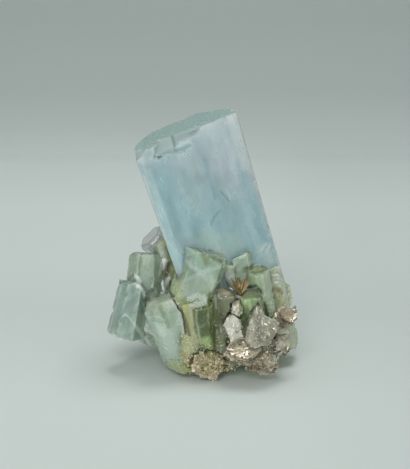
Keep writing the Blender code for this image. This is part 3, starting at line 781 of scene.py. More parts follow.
BERYL_MARKS = (
    ("yellow zone beside the centre crystal", "#b9c480", 0.8, 1.7,
     ((-5.4, 22), (-6, 20.3), (-6.2, 18.1), (-4.9, 15.8))),
    ("blue-grey top of the centre crystal", "#a4bdba", 0.6, 1.7,
     ((-3.6, 25.2), (-2.5, 23.3), (-1.3, 21.2)), 0.1),
    ("pale middle of the centre crystal", "#c6d8c9", 0.7, 2.0,
     ((-3.6, 17.3), (-1.7, 18.6), (0.6, 19.5)), 0.1),
    ("grey-green right of the centre crystal", "#acc4b2", 0.6, 1.2, ((1.5, 22.7), (3, 21.6), (3.6, 20.2))),
    ("pale side crystal", "#c2d8b0", 0.9, 1.3, ((5, 21.9), (5.2, 20.1)), 0.2),
    ("blue-green left block", "#92b1a6", 0.7, 1.7, ((-16.7, 17.1), (-17, 14.4), (-17.6, 12.2))),
    ("pale left edge of the block", "#b0c3bb", 0.7, 0.5,
     ((-18.4, 18), (-19.3, 14.5), (-20.3, 11.1), (-21.2, 7.8)), 0.3),
    ("grey foot of the left block", "#c5dbca", 0.7, 1.3, ((-20.2, 7.5), (-18.4, 7.2), (-16.2, 6.5))),
    ("pale body of the left stub", "#afc1b5", 0.6, 1.5, ((-12.1, 20.2), (-12.6, 18.2), (-11.7, 16.4)), 0.1),
    ("yellow stain right of the block", "#b5ab86", 0.8, 0.6, ((-13.8, 11.9), (-14.1, 10.1), (-14.5, 8.6))),
    ("pale spike beside the tooth", "#bdcdbb", 0.9, 0.45,
     ((-15.1, 9.1), (-14.1, 7.4), (-13, 5.2), (-12.4, 4)), 0.5, 0.05),
    ("olive spot above the tooth", "#8b895f", 0.8, 0.6, ((-13.2, 15), (-12, 14.8)), 0.0, -0.03),
    ("pale upper facet of the left sliver", "#b8c5b2", 0.8, 1.0,
     ((-10.2, 25.7), (-9.3, 24.8), (-10, 23.5)), 0.3),
    ("olive side of the left sliver", "#7d8559", 0.8, 0.8, ((-8.2, 26.1), (-7.3, 24.3), (-6.7, 22.5))),
    ("white facet of the left sliver", "#d6dace", 0.9, 0.6, ((-9.3, 23), (-9.8, 21.7), (-10, 20.3)), 0.6),
    ("green-yellow wall", "#cdcf72", 0.9, 1.0, ((-3.8, 13.7), (-3.6, 11.7), (-3.4, 9.5))),
    ("cream foot of the yellow wall", "#dcd994", 0.9, 1.5, ((-3.2, 7.3), (-3, 5), (-4.1, 2.8)), 0.2),
    ("mint foot of the tooth", "#c5dac8", 0.8, 1.9, ((-8.9, 8.8), (-7.9, 6), (-7.1, 3.2)), 0.2),
    ("green-yellow base of the tooth", "#cdd28c", 0.85, 1.2, ((-7.4, 0.4), (-5.2, -0.2), (-2.8, -0.7))),
    ("yellow rim of the base", "#bdb368", 0.85, 0.8, ((-5.2, 3.5), (-3.5, 1.6), (-1.5, 0.7))),
    # The pocket's own deep green, darkened further as painted shade.
    ("deep green pocket", "#4e6410", 0.95, 1.5, ((-0.4, 12.9), (0, 10.7), (0.2, 8))),
    ("olive foot of the pocket", "#abc366", 0.9, 1.4, ((0.6, 6), (1.3, 3.4), (2.2, 1.1))),
    ("bright green between the caps", "#8c9c49", 0.9, 0.5, ((1.5, 15.2), (1.3, 13.1))),
    ("grey-pink top of the grey cap", "#b7af92", 0.9, 0.9, ((2.8, 17.6), (3.8, 17.5), (4.5, 16.7))),
    ("olive body of the grey cap", "#555730", 0.9, 1.0, ((2.7, 15), (3, 12.7), (3.4, 10.5))),
    ("yellow-green of the green cap", "#8a9c40", 0.9, 1.1, ((8.5, 13.5), (8.7, 11.8), (9, 10.2))),
    ("grey-green of the green cap", "#86a05c", 0.85, 1.0, ((9.7, 15.9), (10.4, 14.4), (10.9, 12.7))),
    ("dark top of the green cap", "#32361b", 0.95, 0.8, ((8.8, 17.4), (10.2, 17.5), (11.1, 17.2))),
    ("mint crystal on the right", "#b0c597", 0.85, 1.3, ((11.2, 20.2), (11.6, 18.4), (12.3, 16.7))),
    ("pale right crystals", "#bcc9a3", 0.8, 1.3, ((13.8, 21), (14.3, 19), (14.6, 17)), 0.1),
    ("yellow-green right crystals", "#d1d597", 0.8, 1.3, ((16.7, 15.5), (17.1, 13.9), (18, 12.5))),
    ("pale lower shoulder", "#b8bc83", 0.8, 1.5, ((20.9, 6.7), (20.5, 4.9), (19.4, 3.1)), 0.1),
    ("pale rib crystal", "#dbe4c2", 0.8, 1.3, ((16.2, 21), (16.8, 19), (17.6, 16.6)), 0.1),
    ("yellow end of the olive lens", "#9f9e65", 0.8, 0.6, ((9.5, 21.4), (10.4, 21.2))),
    ("grey-green of the right peak", "#9fb69d", 0.7, 1.3, ((8.9, 24.5), (8.2, 22.9), (7.4, 21.4))),
    # Painted glints: a bright white arc where the block's edge catches the light, and a spark inside it.
    ("bright arc on the left block", "#ffffff", 1.0, 0.42,
     ((-15.5, 20.1), (-14.5, 18.9), (-13.6, 17.2), (-13.2, 15.5)), 1.0, 0.12),
    ("spark inside the arc", "#f4f9f5", 1.0, 0.28, ((-14.7, 17.9), (-13.9, 17.4), (-13.4, 16.8)), 1.0, 0.06),
    # Painted shade: a dark line along the block's top rim, where the edge shows dark.
    ("rim of the left block", "#5f766a", 0.8, 0.28,
     ((-18.7, 18.5), (-17.4, 19.2), (-16.6, 19.7), (-15.7, 20.2)), 0.0, -0.05),
    ("arch at the left foot", "#c7d3c8", 0.6, 0.2,
     ((-19, 9.8), (-18.3, 11.1), (-17.4, 11.6), (-16.6, 11.1), (-15.7, 9.8), (-14.9, 8.4), (-13.8, 6.1),
      (-12.7, 4.1)), 0.5, 0.02),
    ("shade under the arch", "#9cbbaa", 0.7, 1.1, ((-18.1, 9.1), (-17, 9.4), (-16.4, 8))),
    # Painted glints along the bottom edge of the left block.
    ("frosted foot of the left block", "#dee4dc", 0.8, 0.3, ((-20.7, 7), (-19, 6.2), (-16.9, 5.8)), 0.9),
    ("streak on the left stub", "#788a7a", 0.6, 0.28,
     ((-14, 24.2), (-14.3, 22.2), (-14.5, 20.2)), 0.0, -0.03),
    ("second streak on the left stub", "#bcc8b8", 0.6, 0.22, ((-12.3, 23.5), (-12.6, 21.8)), 0.3, 0.03),
    ("rim of the left stub", "#bfc9bc", 0.5, 0.2,
     ((-16.2, 25), (-15.1, 25.2), (-12.9, 24.9), (-11.6, 24.4)), 0.4),
    ("white shard in the left crevice", "#eef1e8", 0.95, 0.5,
     ((-8.9, 23.2), (-9.4, 21.6), (-10, 20.3)), 0.9, 0.1),
    ("brown stain in the left crevice", "#4a3719", 0.95, 0.6,
     ((-8.2, 22.5), (-8.5, 21.2), (-8.7, 19.8)), 0.0, -0.1),
    # Painted glint above the tooth, raised a little.
    ("white chip above the tooth", "#eeede6", 1.0, 0.42, ((-8.1, 19.4), (-8.9, 18), (-9.5, 16.2)), 1.0, 0.1),
    ("dark crevice above the tooth", "#4a3b22", 0.95, 0.4,
     ((-7.9, 18.3), (-7.9, 17), (-7, 15.8), (-5.9, 14.6), (-5.1, 13.1)), 0.0, -0.12),
    ("pale top of the tooth", "#d5d5c5", 0.8, 0.8,
     ((-12.2, 14.4), (-10.8, 15.4), (-9.1, 15.8), (-7.4, 15.5)), 0.3),
    ("stain on the tooth's left corner", "#88764d", 0.8, 0.35, ((-13.1, 13.4), (-12, 14.8), (-11.2, 15.3))),
    ("dark wedge in the tooth", "#98a981", 0.7, 0.5,
     ((-9.4, 14.1), (-8.9, 12.8), (-8.3, 11.2), (-7.7, 9.4)), 0.0, -0.03),
    ("right ridge of the tooth", "#cfd8ca", 0.7, 0.22,
     ((-7.2, 15.3), (-5.9, 13.6), (-5, 10.9), (-4.6, 8)), 0.5, 0.05),
    ("left ridge of the tooth", "#ccd6c8", 0.7, 0.22,
     ((-13.5, 13.9), (-12.9, 11.9), (-13.2, 8.4), (-12.8, 5)), 0.5, 0.05),
    ("crack across the tooth", "#d3ddd2", 0.7, 0.18,
     ((-12.7, 11), (-11.2, 11.7), (-9.9, 11.7), (-8.9, 11)), 0.5),
    ("second crack across the tooth", "#d3ddd2", 0.6, 0.18, ((-12.4, 7.7), (-10.8, 7.7), (-9.2, 8.5)), 0.5),
    ("black crevice right of the tooth", "#43452d", 0.95, 0.26,
     ((-6.1, 14.8), (-5.5, 14), (-4.8, 12.6), (-4.4, 10.4), (-4.1, 7.8)), 0.0, -0.15),
    ("olive end of the centre crystal", "#73815b", 0.9, 0.55,
     ((-3.5, 26.7), (-1.9, 26.1), (0, 25.2), (1.9, 24.3), (3.4, 23.5)), 0.0, -0.04),
    ("olive notch of the centre crystal", "#88946f", 0.8, 0.7,
     ((-0.2, 25), (0.2, 24.2), (0.5, 23)), 0.0, -0.05),
    ("veil across the centre crystal", "#cadccf", 0.5, 0.5,
     ((-4.4, 19.3), (-2.1, 20.3), (0.4, 21.4), (3, 22.2)), 0.4),
    ("upper veil of the centre crystal", "#cadfd3", 0.6, 0.5,
     ((-3.8, 23.3), (-2.5, 22.1), (-0.8, 21.2), (0.2, 19.5)), 0.3),
    ("clear edge below the veil", "#c7d2c3", 0.8, 0.28,
     ((2.6, 18.8), (3.7, 19.1), (5, 19.4), (6.1, 20)), 0.5, 0.05),
    ("sugary break", "#dbe9dc", 0.9, 0.6,
     ((-3.2, 15.4), (-1.9, 16), (-0.4, 15.8), (0.2, 14.7), (-1.3, 14.1), (-2.8, 14.3)), 0.6, 0.12),
    ("green strip beside the grey cap", "#73823c", 0.9, 0.5,
     ((1.1, 16.4), (0.9, 14.7), (0.7, 12.7), (0.9, 10.5)), 0.0, -0.05),
    ("light edge of the green wall", "#95a063", 0.7, 0.25,
     ((-1.9, 12.9), (-1.8, 10.5), (-1.3, 7.8), (-0.9, 5.8)), 0.2, 0.04),
    ("dark wedge in the yellow wall", "#6d6d3d", 0.8, 0.35,
     ((-4.5, 11.8), (-3.8, 9.8), (-3.3, 7.3)), 0.0, -0.06),
    ("pale streak in the yellow wall", "#c0bf92", 0.7, 0.35, ((-3.2, 13.5), (-2.9, 11.3), (-2.6, 8.6)), 0.3),
    ("brown stain on the grey cap", "#534229", 0.9, 0.65,
     ((4.7, 17.7), (5.5, 17.2), (6.4, 16.3)), 0.0, -0.05),
    ("bright line on the grey cap", "#e8dfc6", 0.9, 0.22,
     ((5.2, 17.9), (6.5, 17.3), (7.8, 16.4)), 0.9, 0.05),
    ("edge of the grey cap", "#a4a38e", 0.7, 0.3, ((2, 17.5), (2.1, 15.7), (2.3, 13.5)), 0.3),
    ("dark rim of the green cap", "#484c37", 0.9, 0.38,
     ((7.9, 17), (9.3, 17.6), (10.8, 17.9), (11.9, 17.1), (12.3, 15.6), (13.1, 13.2),
      (13.5, 11.4)), 0.0, -0.04),
    ("highlight on the green cap", "#b9c8a8", 0.7, 0.22, ((7.6, 15.5), (7.8, 14.5), (8, 13.6)), 0.7, 0.05),
    ("second highlight on the green cap", "#9fb37c", 0.6, 0.25,
     ((9.3, 15.3), (9.6, 13.5), (9.8, 11.7)), 0.4, 0.03),
    ("deep green in the cap's body", "#678038", 0.8, 0.8, ((8.5, 12.9), (8.7, 11.1), (9, 9.3))),
    ("dark side of the green cap", "#5a6146", 0.85, 0.6, ((12.1, 15.2), (12.7, 13.4), (13.4, 11.6))),
    ("olive edge of the right peak", "#717f57", 0.8, 0.3, ((5.9, 23.9), (8, 25), (9.6, 25.8))),
    ("right edge of the right peak", "#8a9874", 0.7, 0.3, ((9.7, 25.7), (10.1, 24.2), (10.3, 22.7))),
    ("olive lens", "#6d7c51", 0.85, 0.5,
     ((9.3, 21.7), (10.7, 22.5), (12.4, 22.6), (13.3, 21.8), (12.1, 21.1), (10.4, 20.9)), 0.0, -0.03),
    ("rib on the right crystals", "#d1d3b6", 0.75, 0.22, ((15, 19.8), (15.7, 20), (16.5, 20.1)), 0.4, 0.06),
    ("second rib on the right crystals", "#d1d3b6", 0.75, 0.22,
     ((15.1, 19), (15.9, 19.2), (16.9, 19.4)), 0.4, 0.06),
    ("third rib on the right crystals", "#d1d3b6", 0.75, 0.22,
     ((15.3, 18.3), (16.2, 18.4), (17.1, 18.6)), 0.4, 0.06),
    ("warm stain on the right crystals", "#ac9055", 0.8, 0.55, ((14.6, 16.9), (16, 17), (17.1, 16.3))),
    ("pale edge of the right crystals", "#c9d1bd", 0.7, 0.22,
     ((12.3, 20.4), (12.7, 18.2), (13, 15.8)), 0.3, 0.03),
)
BERYL_MARKS = [Mark(*row) for row in BERYL_MARKS]
# Where loose crumbs lie: name, half width and places in the front plane.
CRUMBS = (
    ("on the sugary break", 1.0,
     ((-3.2, 15.2), (-1.9, 15.8), (-0.4, 15.8), (0.2, 14.5), (-1.3, 13.9), (-2.8, 14.1))),
    ("along the foot of the centre crystal", 0.5, ((-5.7, 15.2), (-4.5, 14.3), (-2.8, 13.9))),
    ("on the yellow foot", 1.5, ((-3.7, 6.4), (-3.2, 4.4), (-4.1, 2.3), (-2, 1.1))),
    ("under the tooth", 0.8, ((-5.9, 1.3), (-4.1, 0), (-2.4, -0.8))),
    ("left of the crust", 1.2, ((-1.5, 3.6), (-0.2, 4.6), (1.5, 4.1))),
    ("beside the mica", 0.8, ((2.4, 8.6), (2.6, 6.4), (3, 3.7), (3.7, 1.2))),
    ("in the left crevice", 0.6, ((-8.9, 21.6), (-8.5, 19.6), (-8.1, 18))),
    ("right of the tooth", 0.35, ((-5.9, 14.6), (-5.1, 13.1), (-4.5, 10.4), (-4.1, 7.8))),
    ("above the block", 0.4, ((-15, 18.6), (-13.9, 17.3), (-13.3, 15.7))),
    ("beside the green cap", 1.0, ((13.2, 15.2), (13.9, 13.8), (14.8, 12.4))),
    ("between the centre crystal and the right peak", 0.5, ((4, 23.3), (4.5, 21.9), (5.4, 20.8))),
    ("on the right crystals", 0.7, ((15.5, 16.3), (16.9, 14.6), (17.6, 13))),
    ("at the foot of the caps", 0.7, ((3.6, 10.5), (4.5, 8.7), (5.2, 6.8))),
)
# Grains that may lean this far, in radians, lie any way round.
ANY_WAY = 3.14


def nearest_beryl(place):
    """The crystal whose body a place lies in."""

    def gap(beryl):
        share = max(0.0, min(1.0, (place - beryl.foot).dot(beryl.along) / beryl.along.length_squared))
        return (place - beryl.foot - beryl.along * share).length / beryl.half

    return min(BERYLS, key=gap)


def foot_rubble(finish):
    """Crumbs packed round the tall crystal's foot, where it stands in the knot."""
    tall = clean_copy("aquamarine_crystal")
    low = min(tall_place(v.co).z for v in tall.verts)
    rim = spots_along(edge_lines(tall, True, SHARP), 0.3)
    rim = tree_of([p for p in rim if tall_place(p).z < low + 0.4])
    refine(tall, ((rim, 0.5),), 3.0)
    tint = tall.verts.layers.float_color.new("tint")
    crumb = tall.verts.layers.float.new("crumb")
    for v in tall.verts:
        v[crumb] = smooth_step(1.4, 0.4, rim.find(v.co)[2])
        v[tint] = linear("#aebd92")
    ground = as_object(tall, "foot")
    tree = scatter_tree("rubble", finish, False)
    return grow(ground, tree, Spacing=0.45, Smallest=0.5, Largest=1.4, Tilt=ANY_WAY, Uneven=0.25, Seed=6)


def small_beryls(material, crumb_finish):
    """The knot of small beryls: ribbed and worn faces, darker valleys, frosted edges that carry painted
    highlight, and loose crumbs.
    """
    bm = clean_copy("green_beryl_cluster")
    shell = BVHTree.FromBMesh(bm)
    laid = [spots_on(shell, mark.points) for mark in BERYL_MARKS]
    # A face belongs to the crystal that lies 1 mm under it.
    owners = {face.index: nearest_beryl(face.calc_center_median() - face.normal) for face in bm.faces}
    valleys = tree_of(spots_along(edge_lines(bm, False, 12.0), RIDGE_STEP))
    bm = bevelled(bm, 0.1, 14.0)
    edges = edge_lines(bm, True, SHARP)
    ridges = tree_of(spots_along(edges, RIDGE_STEP))
    refine(bm, ((tree_of(fine_spots(BERYL_MARKS, laid)), 0.18), (ridges, 0.4)), 0.9)
    shares = mark_shares(bm, laid, BERYL_MARKS)
    rng = random.Random(8)
    chip_ridges(bm, edges, 34, (0.9, 2.1), rng)
    chip_ridges(bm, edges, 220, (0.4, 1.0), rng)
    moves = []
    homes = {}
    for v in bm.verts:
        home = owners[shell.find_nearest(v.co)[2]]
        homes[v.index] = home
        # Ribs run along each crystal, so a point's place along it counts for little.
        share = (v.co - home.foot).dot(home.along) / home.along.length_squared
        off = v.co - home.foot - home.along * share
        drawn = off + home.along * (share * 0.12) + Vector((BERYLS.index(home) * 9.0, 0.0, 0.0))
        relief = rough(drawn, 1.3, 1.0) * 0.09 + rough(drawn, 0.5, 2.0) * 0.03
        swell = rough(v.co, 4.0, 3.0) * 0.08
        nibbled = max(0.0, 0.25 + rough(v.co, 1.2, 4.0) + 0.5 * rough(v.co, 0.45, 5.0))
        worn = near(ridges, v.co, 0.6) * nibbled * 0.2
        moves.append(v.normal * (relief + swell - worn - 0.1 + mark_lift(shares, v.index)))
    move_points(bm, moves)
    keep_above_ground(bm)

    def tint_at(v):
        home = homes[v.index]
        up = v.normal.dot(home.along.normalized())
        colour = blend(home.body, home.end, smooth_step(0.45, 0.7, up))
        # Darker olive in the valleys between the faces, in patches.
        darkening = near(valleys, v.co, 0.55) * smooth_step(-0.35, 0.35, rough(v.co, 2.2, 7.0))
        low = smooth_step(6.0, 1.0, v.co.z) * 0.35
        return blend(blend(colour, ROOT.body, low), VALLEY_DARK_OLIVE, darkening * 0.75)

    def frost_at(v):
        # Frost on the ridges is partly worn edge and partly painted edge highlight.
        edge = near(ridges, v.co, 0.4) * (0.35 + 0.9 * rough(v.co, 1.5, 8.0))
        bloom = smooth_step(0.25, 0.75, rough(v.co, 2.4, 11.0)) * 0.3
        return edge * 0.8 + bloom

    paint(bm, tint_at, frost_at, shares)
    # Crumbs lie in the valleys and, thickest along the middle, where the table says.
    crumb = bm.verts.layers.float.new("crumb")
    places = tree_of([v.co for v in bm.verts])
    bm.verts.ensure_lookup_table()
    for v in bm.verts:
        v[crumb] = 0.5 * smooth_step(0.1, 0.5, rough(v.co, 2.0, 13.0)) * near(valleys, v.co, 0.9)
    for _, width, points in CRUMBS:
        for spot in spots_on(shell, points):
            for _, index, gap in places.find_range(spot, width):
                v = bm.verts[index]
                v[crumb] = max(v[crumb], 1.0 - 0.8 * gap / width)
    whole = as_object(bm, "beryls")
    tree = scatter_tree("crumbs", crumb_finish, False)
    sizes = {"Spacing": 0.21, "Smallest": 0.12, "Largest": 0.34}
    fine = grow(copy_of(whole), tree, Tilt=ANY_WAY, Uneven=0.1, Seed=4, **sizes)
    crumbs = join([fine, foot_rubble(crumb_finish)])
    # Each crumb keeps some of the colour under it and is paler by its own random share.
    tint = crumbs.verts.layers.float_color["tint"]
    grain = crumbs.verts.layers.float["sheet"]
    for v in crumbs.verts:
        v[tint] = blend(blend(v[tint], linear("#a39a62"), 0.1), linear("#eef0d8"), 0.65 * v[grain])
    keep_above_ground(crumbs)
    as_piece(mesh_of(whole), "small_beryls", "green_beryl_cluster", material, 28.0)
    as_piece(crumbs, "beryl_crumbs", "green_beryl_cluster", crumb_finish)


# ---- mica, albite and rust, made by geometry nodes

BROAD_SHEET = ((-0.7, 4.9), (-3.2, -0.2), (-3.8, -2.8), (-2.1, -4.6), (1.6, -4.0), (4.2, 0.3), (0.6, 2.6))
BRIGHT_SHEET = ((-0.4, 3.0), (-1.6, 2.3), (-2.4, 0.7), (-1.2, -1.4), (-0.2, -3.2), (2.5, -2.0), (1.1, 2.0))
# Books: middle, degrees right of the front and up that the sheets face, thickness, outline or half sizes and
# corners, curl of the sheets, how brown they are and how thickly loose flakes lie on them.
MICA_BOOKS = (
    ((12.0, -15.2, 13.6), 8, 20, 2.6, BROAD_SHEET, 0.12, 0.25, 0.1),
    ((6.4, -15.3, 13.3), -22, 30, 2.2, BRIGHT_SHEET, 0.15, 0.0, 0.2),
    ((8.4, -14.0, 7.4), -8, 40, 3.8, (4.8, 2.8, 7), 0.16, 0.85, 0.25),
    ((12.6, -12.8, 4.6), 16, 48, 3.6, (4.0, 2.6, 6), 0.2, 0.85, 0.4),
    ((16.0, -11.4, 8.8), 42, 10, 2.8, (2.8, 3.4, 6), 0.25, 0.6, 0.45),
    ((17.6, -9.4, 13.8), 30, 48, 3.2, (2.9, 2.4, 7), 0.7, 0.9, 0.3),
    ((6.8, -14.2, 17.4), -16, 20, 1.8, (1.4, 2.1, 5), 0.12, 0.3, 0.5),
    ((14.4, -14.2, 9.8), 20, 52, 0.7, (1.9, 1.2, 5), 0.04, 0.0, 0.1),
    ((16.6, -12.6, 11.6), 48, 66, 0.7, (2.1, 1.0, 5), 0.04, 0.1, 0.1),
    ((14.8, -13.6, 6.4), 64, 12, 0.6, (1.0, 1.9, 5), 0.04, 0.05, 0.0),
    ((17.2, -11.2, 7.4), 30, 34, 0.6, (1.2, 1.5, 6), 0.05, 0.1, 0.1),
    ((10.6, -15.6, 8.9), -24, 62, 0.6, (1.7, 0.9, 5), 0.04, 0.2, 0.0),
)
# The step from one sheet of a book to the next, and how far apart the points of a torn rim lie.
SHEET_STEP = 0.26
TEAR_STEP = 0.45
# The albite grains: how far apart, smallest and largest.
ALBITE_GRAINS = ((0.36, 0.3, 0.66), (0.19, 0.16, 0.36))
# The fan of rusty blades: its root, the length of a blade and half its width from its foot to its point.
RUST_ROOT = (7.5, -12.0, 19.9)
RUST_LENGTH = 4.3
BLADE_WIDTHS = ((0.0, 0.1), (0.35, 0.16), (0.75, 0.1), (1.0, 0.02))

ON_POINTS = "GeometryNodeInstanceOnPoints"
SET_POSITION = "GeometryNodeSetPosition"
REALIZE = "GeometryNodeRealizeInstances"
SOCKETS = {int: "NodeSocketInt", float: "NodeSocketFloat", bpy.types.Material: "NodeSocketMaterial"}


def new_tree(name, **inputs):
    """A geometry node tree with its ends and its named inputs, each with a default value."""
    tree = bpy.data.node_groups.new(name, "GeometryNodeTree")
    for way in ("INPUT", "OUTPUT"):
        tree.interface.new_socket(name="Geometry", in_out=way, socket_type="NodeSocketGeometry")
    for key, value in inputs.items():
        socket = tree.interface.new_socket(name=key, in_out="INPUT", socket_type=SOCKETS[type(value)])
        socket.default_value = value
    start = tree.nodes.new("NodeGroupInput")
    end = tree.nodes.new("NodeGroupOutput")
    return tree, start.outputs, end.inputs["Geometry"]


def numbered(add, instances, seed, step):
    """Instances as real mesh, each with a random number of its own in the attribute sheet."""
    share = random_value(add, 0.0, 1.0, seed, step)
    settings = {"data_type": "FLOAT", "domain": "INSTANCE"}
    named = add("GeometryNodeStoreNamedAttribute", settings, Geometry=instances, Name="sheet", Value=share)
    return add(REALIZE, {}, named)


def finish_tree(add, geometry, material, end):
    """Makes what is left of instances real mesh and gives the result its material."""
    real = add(REALIZE, {}, geometry)
    painted = add("GeometryNodeSetMaterial", {}, Geometry=real, Material=material)
    end.id_data.links.new(painted.outputs["Geometry"], end)


def grow(obj, tree, **values):
    """Runs a geometry node tree on an object and keeps the result as plain mesh."""
    mod = obj.modifiers.new(tree.name, "NODES")
    mod.node_group = tree
    for item in tree.interface.items_tree:
        if item.in_out == "INPUT" and item.name in values:
            mod[item.identifier] = values[item.name]
    graph = bpy.context.evaluated_depsgraph_get()
    mesh = bpy.data.meshes.new_from_object(obj.evaluated_get(graph), depsgraph=graph)
    bm = bmesh.new()
    bm.from_mesh(mesh)
    bpy.data.objects.remove(obj)
    bpy.data.meshes.remove(mesh)
    return bm


def random_value(add, low, high, seed, step):
    """A random number, or three, for each item; step keeps the numbers of one tree apart."""
    kind = "FLOAT" if isinstance(low, float) else "FLOAT_VECTOR"
    own_seed = add(MATH, ADD, seed, float(step))
    return add("FunctionNodeRandomValue", {"data_type": kind}, Min=low, Max=high, Seed=own_seed)


def book_tree(material):
    """Stacks copies of one sheet, each turned, shifted, shrunk and curled a little differently."""
    tree, given, end = new_tree("mica book", Sheets=12, Step=0.2, Curl=0.2, Seed=1, Finish=material)
    add = partial(add_node, tree)
    seed = given["Seed"]
    up = add(XYZ, {}, Z=given["Step"])
    stack = add("GeometryNodeMeshLine", {}, Count=given["Sheets"], Offset=up)
    shift = random_value(add, (-0.25, -0.25, 0.0), (0.25, 0.25, 0.0), seed, 2)
    moved = add(SET_POSITION, {}, Geometry=stack, Offset=shift)
    size = random_value(add, 0.76, 0.97, seed, 0)
    thick = random_value(add, 0.35, 1.0, seed, 7)
    scale = add(XYZ, {}, size, size, thick)
    spin = random_value(add, (-0.02, -0.02, -0.12), (0.02, 0.02, 0.12), seed, 5)
    sheet = given["Geometry"]
    laid = add(ON_POINTS, {}, Points=moved, Instance=sheet, Rotation=spin, Scale=scale)
    real = numbered(add, laid, seed, 9)
    # Waves 2.5 mm long lift the sheets.
    place = add("GeometryNodeInputPosition", {})
    wave = add(NOISE, {"noise_dimensions": "4D"}, Vector=place, W=seed, Scale=0.4, Detail=2.0)
    lifted = add(MATH, SUBTRACT, wave, 0.5)
    lifted = add(MATH, MULTIPLY, lifted, add(MATH, MULTIPLY, given["Curl"], 4.0))
    curled = add(SET_POSITION, {}, Geometry=real, Offset=add(XYZ, {}, Z=lifted))
    finish_tree(add, curled, given["Finish"], end)
    return tree


def scatter_tree(name, material, flat):
    """Scatters grains over a surface, thickest where its crumb value is high; flat ones are flakes."""
    tree, given, end = new_tree(
        name, Spacing=0.4, Smallest=0.3, Largest=0.6, Tilt=ANY_WAY, Uneven=0.1, Seed=1, Finish=material
    )
    add = partial(add_node, tree)
    seed = given["Seed"]
    share = add("GeometryNodeInputNamedAttribute", {"data_type": "FLOAT"}, Name="crumb")
    spots = add(
        "GeometryNodeDistributePointsOnFaces", {"distribute_method": "POISSON"}, Seed=seed,
        Mesh=given["Geometry"], Distance_Min=given["Spacing"], Density_Max=14.0, Density_Factor=share,
    )
    if flat:
        shape = add("GeometryNodeMeshCylinder", {}, Vertices=6, Radius=0.6, Depth=0.08)
    else:
        shape = add("GeometryNodeMeshCube", {}, Size=(1.0, 0.9, 0.8))
    size = random_value(add, given["Smallest"], given["Largest"], seed, 1)
    stretch = random_value(add, (0.6, 0.6, 0.7), (1.2, 1.2, 1.0), seed, 2)
    scaled = add(VECTORS, SCALE, Vector=stretch, Scale=size)
    around = spots.outputs["Rotation"]
    laid = add(ON_POINTS, {}, Points=spots, Instance=shape, Rotation=around, Scale=scaled)
    lean = random_value(add, (-1.0, -1.0, -1.0), (1.0, 1.0, 1.0), seed, 3)
    most = add(XYZ, {}, given["Tilt"], given["Tilt"], ANY_WAY)
    turn = add(VECTORS, MULTIPLY, lean, most)
    turned = add("GeometryNodeRotateInstances", {}, Instances=laid, Rotation=turn)
    real = numbered(add, turned, seed, 4)
    # A noise 0.4 mm across makes the grains uneven.
    place = add("GeometryNodeInputPosition", {})
    wave = add(NOISE, {}, Vector=place, Scale=2.3, Detail=1.0)
    centred = add(VECTORS, SUBTRACT, wave.outputs["Color"], (0.5, 0.5, 0.5))
    pushed = add(MATH, MULTIPLY, given["Uneven"], 4.0)
    offset = add(VECTORS, SCALE, Vector=centred, Scale=pushed)
    uneven = add(SET_POSITION, {}, Geometry=real, Offset=offset)
    finish_tree(add, uneven, given["Finish"], end)
    return tree


def spray_tree(material):
    """Copies of one blade that fan out of a short root."""
    tree, given, end = new_tree("spray", Blades=24, Seed=1, Finish=material)
    add = partial(add_node, tree)
    seed = given["Seed"]
    root = add("GeometryNodeMeshLine", {}, Count=given["Blades"], Offset=(0.0, 0.0, 0.0))
    shift = random_value(add, (-0.5, -0.35, 0.0), (0.5, 0.35, 0.4), seed, 1)
    moved = add(SET_POSITION, {}, Geometry=root, Offset=shift)
    spread = random_value(add, (-0.3, -0.62, -0.9), (0.34, 0.62, 0.9), seed, 2)
    size = random_value(add, (0.6, 0.8, 0.5), (1.2, 1.2, 0.92), seed, 3)
    blade = given["Geometry"]
    laid = add(ON_POINTS, {}, Points=moved, Instance=blade, Rotation=spread, Scale=size)
    finish_tree(add, numbered(add, laid, seed, 4), given["Finish"], end)
    return tree


def copy_of(obj):
    """A second object with a copy of the mesh."""
    made = bpy.data.objects.new(obj.name, obj.data.copy())
    bpy.context.scene.collection.objects.link(made)
    return made


def mesh_of(obj):
    """Takes the mesh out of an object that is no longer wanted."""
    bm = bmesh.new()
    bm.from_mesh(obj.data)
    bpy.data.objects.remove(obj)
    return bm


def join(parts):
    """Several meshes as one."""
    whole = bmesh.new()
    for bm in parts:
        mesh = bpy.data.meshes.new("part")
        bm.to_mesh(mesh)
        bm.free()
        whole.from_mesh(mesh)
        bpy.data.meshes.remove(mesh)
    return whole


def uneven_outline(wide, high, corners, rng):
    """The corners of a mica sheet, a little uneven, anticlockwise."""
    start = rng.uniform(0.0, math.tau)
    points = []
    for k in range(corners):
        angle = start + (k + rng.uniform(-0.22, 0.22)) * math.tau / corners
        share = rng.uniform(0.86, 1.0)
        points.append((wide * share * math.cos(angle), high * share * math.sin(angle)))
    return points


def torn_rim(points, rng):
    """An outline with more points, torn a little between its corners."""
    rim = []
    for (ax, ay), (bx, by) in zip(points, points[1:] + points[:1]):
        count = max(2, round(math.hypot(bx - ax, by - ay) / TEAR_STEP))
        for k in range(count):
            tear = rng.uniform(-0.16, 0.02) if k else 0.0
            x, y = blend((ax, ay), (bx, by), k / count)
            reach = math.hypot(x, y) or 1.0
            rim.append((x + x / reach * tear, y + y / reach * tear))
    return rim


def bridge(bm, low, high):
    """Faces between two rings of as many points."""
    for k in range(len(low)):
        following = (k + 1) % len(low)
        bm.faces.new((low[k], low[following], high[following], high[k]))


def sheet_mesh(points, thick, rng):
    """One thin sheet over an outline, with enough points to curl."""
    rim = torn_rim(points, rng)
    bm = bmesh.new()
    rings = [[bm.verts.new((x * share, y * share, thick)) for x, y in rim] for share in (1.0, 0.66, 0.33)]
    middle = bm.verts.new((0.0, 0.0, thick))
    for outer, inner in zip(rings, rings[1:]):
        bridge(bm, outer, inner)
    for a, b in zip(rings[-1], rings[-1][1:] + rings[-1][:1]):
        bm.faces.new((a, b, middle))
    base = [bm.verts.new((x, y, 0.0)) for x, y in rim]
    bridge(bm, base, rings[0])
    bm.faces.new(base[::-1])
    return bm


